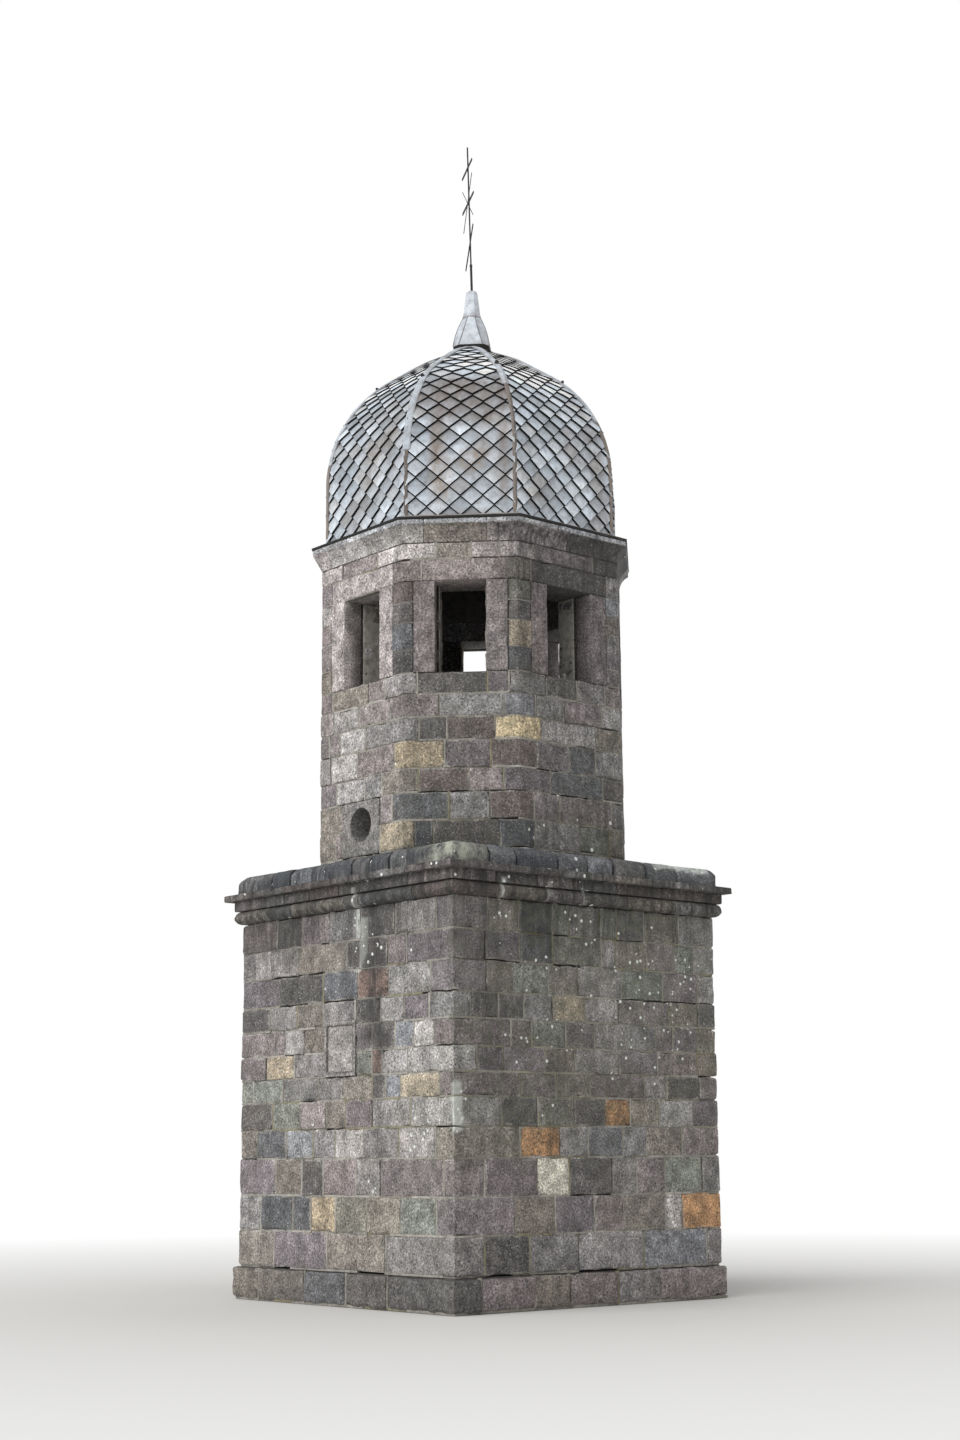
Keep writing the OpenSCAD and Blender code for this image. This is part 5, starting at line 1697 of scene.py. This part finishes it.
# the iron cross
cross = {
    "turn": 242, "lean": 1.3, "leanTurn": 140, "socketR": 0.0125, "socket": 0.309, "seat": 0.120,
    "mast": 0.014, "mastTall": 1.336, "bars": [(0.500, 1.080, 0), (0.560, 0.692, 0), (0.540, 0.190, 40)],
    "barTall": 0.030, "barThick": 0.008, "ray": 0.680, "rayR": 0.004,
}


def turned(degrees, axis):
    return Matrix.Rotation(math.radians(degrees), 4, axis)


crossFrame = (Matrix.Translation((0, 0, capTop)) @ turned(cross["leanTurn"], "Z")
              @ turned(cross["lean"], "Y") @ turned(-cross["leanTurn"], "Z"))
crossTurn = crossFrame @ turned(cross["turn"], "Z")


def addTube(shell, matrix, points, sides=10):
    # points are (height, radius) along z
    circle = [(math.cos(2 * math.pi * i / sides), math.sin(2 * math.pi * i / sides)) for i in range(sides)]
    addRings(shell, [[shell.vert(matrix @ Vector((r * c, r * s, z))) for c, s in circle] for z, r in points])


def addBar(shell, matrix, length, tall, thick, cut=1.5 * mm):
    # a forged bar with worn edges along x
    a, b = tall / 2, thick
    section = [(0, -a + cut), (0, a - cut), (cut, a), (b - cut, a)]
    section += [(b, a - cut), (b, -a + cut), (b - cut, -a), (cut, -a)]
    rows = []
    for i in range(13):
        x = -length / 2 + length * i / 12
        end = 1.0 if 0 < i < 12 else 0.86
        loop = [Vector((x, y + 0.6 * mm * wobble((x, y, 1), 0.1), z * end)) for y, z in section]
        rows.append([shell.vert(matrix @ p) for p in loop])
    addRings(shell, rows)


def makeCross():
    shell = Shell("cross_mast_forged")
    r, socket, total = cross["socketR"], cross["socket"], cross["socket"] + cross["mastTall"]
    tube = [(-cross["seat"], r), (0, r), (0, r + 4 * mm),
            (6 * mm, r + 4 * mm), (8 * mm, r), (socket - 0.03, r)]
    tube += [(socket - 0.028, r + 2 * mm), (socket - 4 * mm, r + 2 * mm), (socket, r - 2 * mm)]
    addTube(shell, crossFrame, tube, 16)
    half, cut = cross["mast"] / 2, 2 * mm
    near = half - cut
    section = [(half, -near), (half, near), (near, half), (-near, half)]
    section += [(-x, -y) for x, y in section]
    heights = [(socket - 0.05, 1.0)] + [(socket + cross["mastTall"] * i / 16, 1.0) for i in range(16)]
    heights += [(total - 3 * mm, 1.0), (total - 0.2 * mm, 0.7)]
    addRings(shell, [[shell.vert(crossTurn @ Vector((x * s, y * s, z))) for x, y in section]
                     for z, s in heights])
    finishPiece(shell, [wroughtIron], ["cross_mast"], 0, 30)
    shell = Shell("cross_bars_and_rays_forged")
    front = -half - cross["barThick"]
    for length, z, tilt in cross["bars"]:
        matrix = crossTurn @ Matrix.Translation((0, front, socket + z)) @ turned(-tilt, "Y")
        addBar(shell, matrix, length, cross["barTall"], cross["barThick"])
        rivet = matrix @ Matrix.Translation((0, 1 * mm, 0)) @ turned(90, "X")
        addTube(shell, rivet, [(0, 7 * mm), (3 * mm, 7 * mm), (5 * mm, 4 * mm)])
    reach, r = cross["ray"] / 2, cross["rayR"]
    for way in (-45, 45):
        matrix = crossTurn @ Matrix.Translation((0, front, socket + cross["bars"][1][1])) @ turned(way, "Y")
        addTube(shell, matrix,
                [(-reach, r * 0.5), (-reach + 6 * mm, r), (reach - 6 * mm, r), (reach, r * 0.5)], 8)
    finishPiece(shell, [wroughtIron], ["cross_bars_and_rays"], 0, 30)


makeCross()


# a bare tablet with a sunk field
tablet = {
    "wide": 0.478, "tall": 0.508, "z": 2.005 + 0.315, "y": 0.008, "proud": 0.014, "rim": 0.036,
    "sink": 0.016, "deep": 0.12,
}


def makeTablet():
    shell = Shell("wall_tablet_slab")
    rng = random.Random(2)
    place = onFace(squareRing, 0)
    w, h = tablet["wide"] / 2, tablet["tall"] / 2
    rim, sink = tablet["rim"], tablet["sink"]
    middle = -tablet["y"]
    inner = rim + 5 * mm
    us, zs = (sorted({*spread(-a, a, 9 * mm, 0.04), rim - a, inner - a, a - rim, a - inner}) for a in (w, h))
    tint = stoneTint("grey", rng)
    front = []
    for u in us:
        column = []
        for z in zs:
            inside = min(w - abs(u), h - abs(z))
            d = tablet["proud"] - (sink if inside > rim + 2 * mm else 0)
            d -= 6 * mm if inside < 1 * mm else 2 * mm if inside < 4 * mm else 0
            d += 1.5 * mm * wobble((u, z, 1), 0.07, 9)
            p = place(middle + u, d, tablet["z"] + z)
            # painted shade: darker along the sunk field's edge and round the tablet's outer edge
            shade = 0.4 if abs(inside - rim - 2 * mm) < 5 * mm or inside < 1 * mm else 1.0
            column.append(shell.vert(p, [shade * c for c in tint], baseWeather(p)))
        front.append(column)
    corners = [[place(middle + u, -tablet["deep"], tablet["z"] + z) for z in (-h, h)] for u in us]
    closeSlab(shell, front, [[shell.vert(p, tint) for p in pair] for pair in corners])
    finishPiece(shell, [ashlarStone], ["wall_tablet"])


makeTablet()

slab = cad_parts["belfry_floor"].data.materials
slab.clear()
slab.append(floorStone)
print("roof, cross and tablet made")

# floor, light and camera
staging = {
    "floor": "d9d8d5", "floorSize": 160.0, "sky": 0.53, "sun": 2.15, "sunFrom": (-0.92, -0.12, 0.60),
    "sunAngle": 70, "eye": (-13.624, -16.193, 1.329), "heading": 49.775, "pitch": 11.548, "roll": -0.3995,
    "lens": 53.41,
}


def makeStaging():
    bpy.ops.mesh.primitive_plane_add(size=staging["floorSize"], location=(0, 0, -0.002))
    floor = bpy.context.object
    floor.name = "floor"
    material = bpy.data.materials.new("paleFloor")
    material.use_nodes = True
    tree = material.node_tree
    add = partial(addNode, tree)
    shader = tree.nodes["Principled BSDF"]
    shader.inputs["Roughness"].default_value = 0.95
    shader.inputs["Base Color"].default_value = hexColor(staging["floor"])
    place = add("ShaderNodeTexCoord", output="Object")
    far = add("ShaderNodeVectorMath", {"operation": "LENGTH"}, [place], "Value")
    fade = add("ShaderNodeValToRGB", {"stops": [(0.08, 0.0), (0.45, 1.0)]}, [("DIVIDE", far, 40.0)])
    glow = add("ShaderNodeEmission", {}, {"Color": "ffffff", "Strength": 1.0})
    mix = add("ShaderNodeMixShader", {}, [fade, shader.outputs[0], glow])
    tree.links.new(mix, tree.nodes["Material Output"].inputs[0])
    floor.data.materials.append(material)
    sun = bpy.data.lights.new("softSun", "SUN")
    sun.energy = staging["sun"]
    sun.angle = math.radians(staging["sunAngle"])
    lamp = bpy.data.objects.new("softSun", sun)
    lamp.rotation_euler = Vector(staging["sunFrom"]).to_track_quat("Z", "Y").to_euler()
    bpy.context.scene.collection.objects.link(lamp)
    world = bpy.data.worlds.new("overcast")
    bpy.context.scene.world = world
    world.use_nodes = True
    tree = world.node_tree
    ray = addNode(tree, "ShaderNodeLightPath").node.outputs
    bounced = ("ADD", ray["Is Glossy Ray"], ray["Is Transmission Ray"])
    seen = ("MINIMUM", ("ADD", ray["Is Camera Ray"], bounced), 1.0)
    sky = staging["sky"]
    strength = addNode(tree, "ShaderNodeMath", {"operation": "ADD"}, [("MULTIPLY", seen, 1 - sky), sky])
    back = tree.nodes["Background"]
    back.inputs["Color"].default_value = (1, 1, 1, 1)
    tree.links.new(strength, back.inputs["Strength"])


def makeCamera():
    heading, pitch, roll = (math.radians(staging[key]) for key in ("heading", "pitch", "roll"))
    level = math.cos(pitch)
    ahead = Vector((level * math.cos(heading), level * math.sin(heading), math.sin(pitch)))
    right = ahead.cross(up).normalized()
    above = right.cross(ahead)
    c, s = math.cos(roll), math.sin(roll)
    right, above = right * c + above * s, above * c - right * s
    data = bpy.data.cameras.new("photoCamera")
    data.lens = staging["lens"]
    data.sensor_width = 36
    data.clip_end = 500
    camera = bpy.data.objects.new("photoCamera", data)
    turn = Matrix((right, above, -ahead)).transposed().to_4x4()
    camera.matrix_world = Matrix.Translation(staging["eye"]) @ turn
    bpy.context.scene.collection.objects.link(camera)
    bpy.context.scene.camera = camera


makeStaging()
makeCamera()
bpy.context.scene.view_settings.view_transform = "Standard"
print("light and camera set")
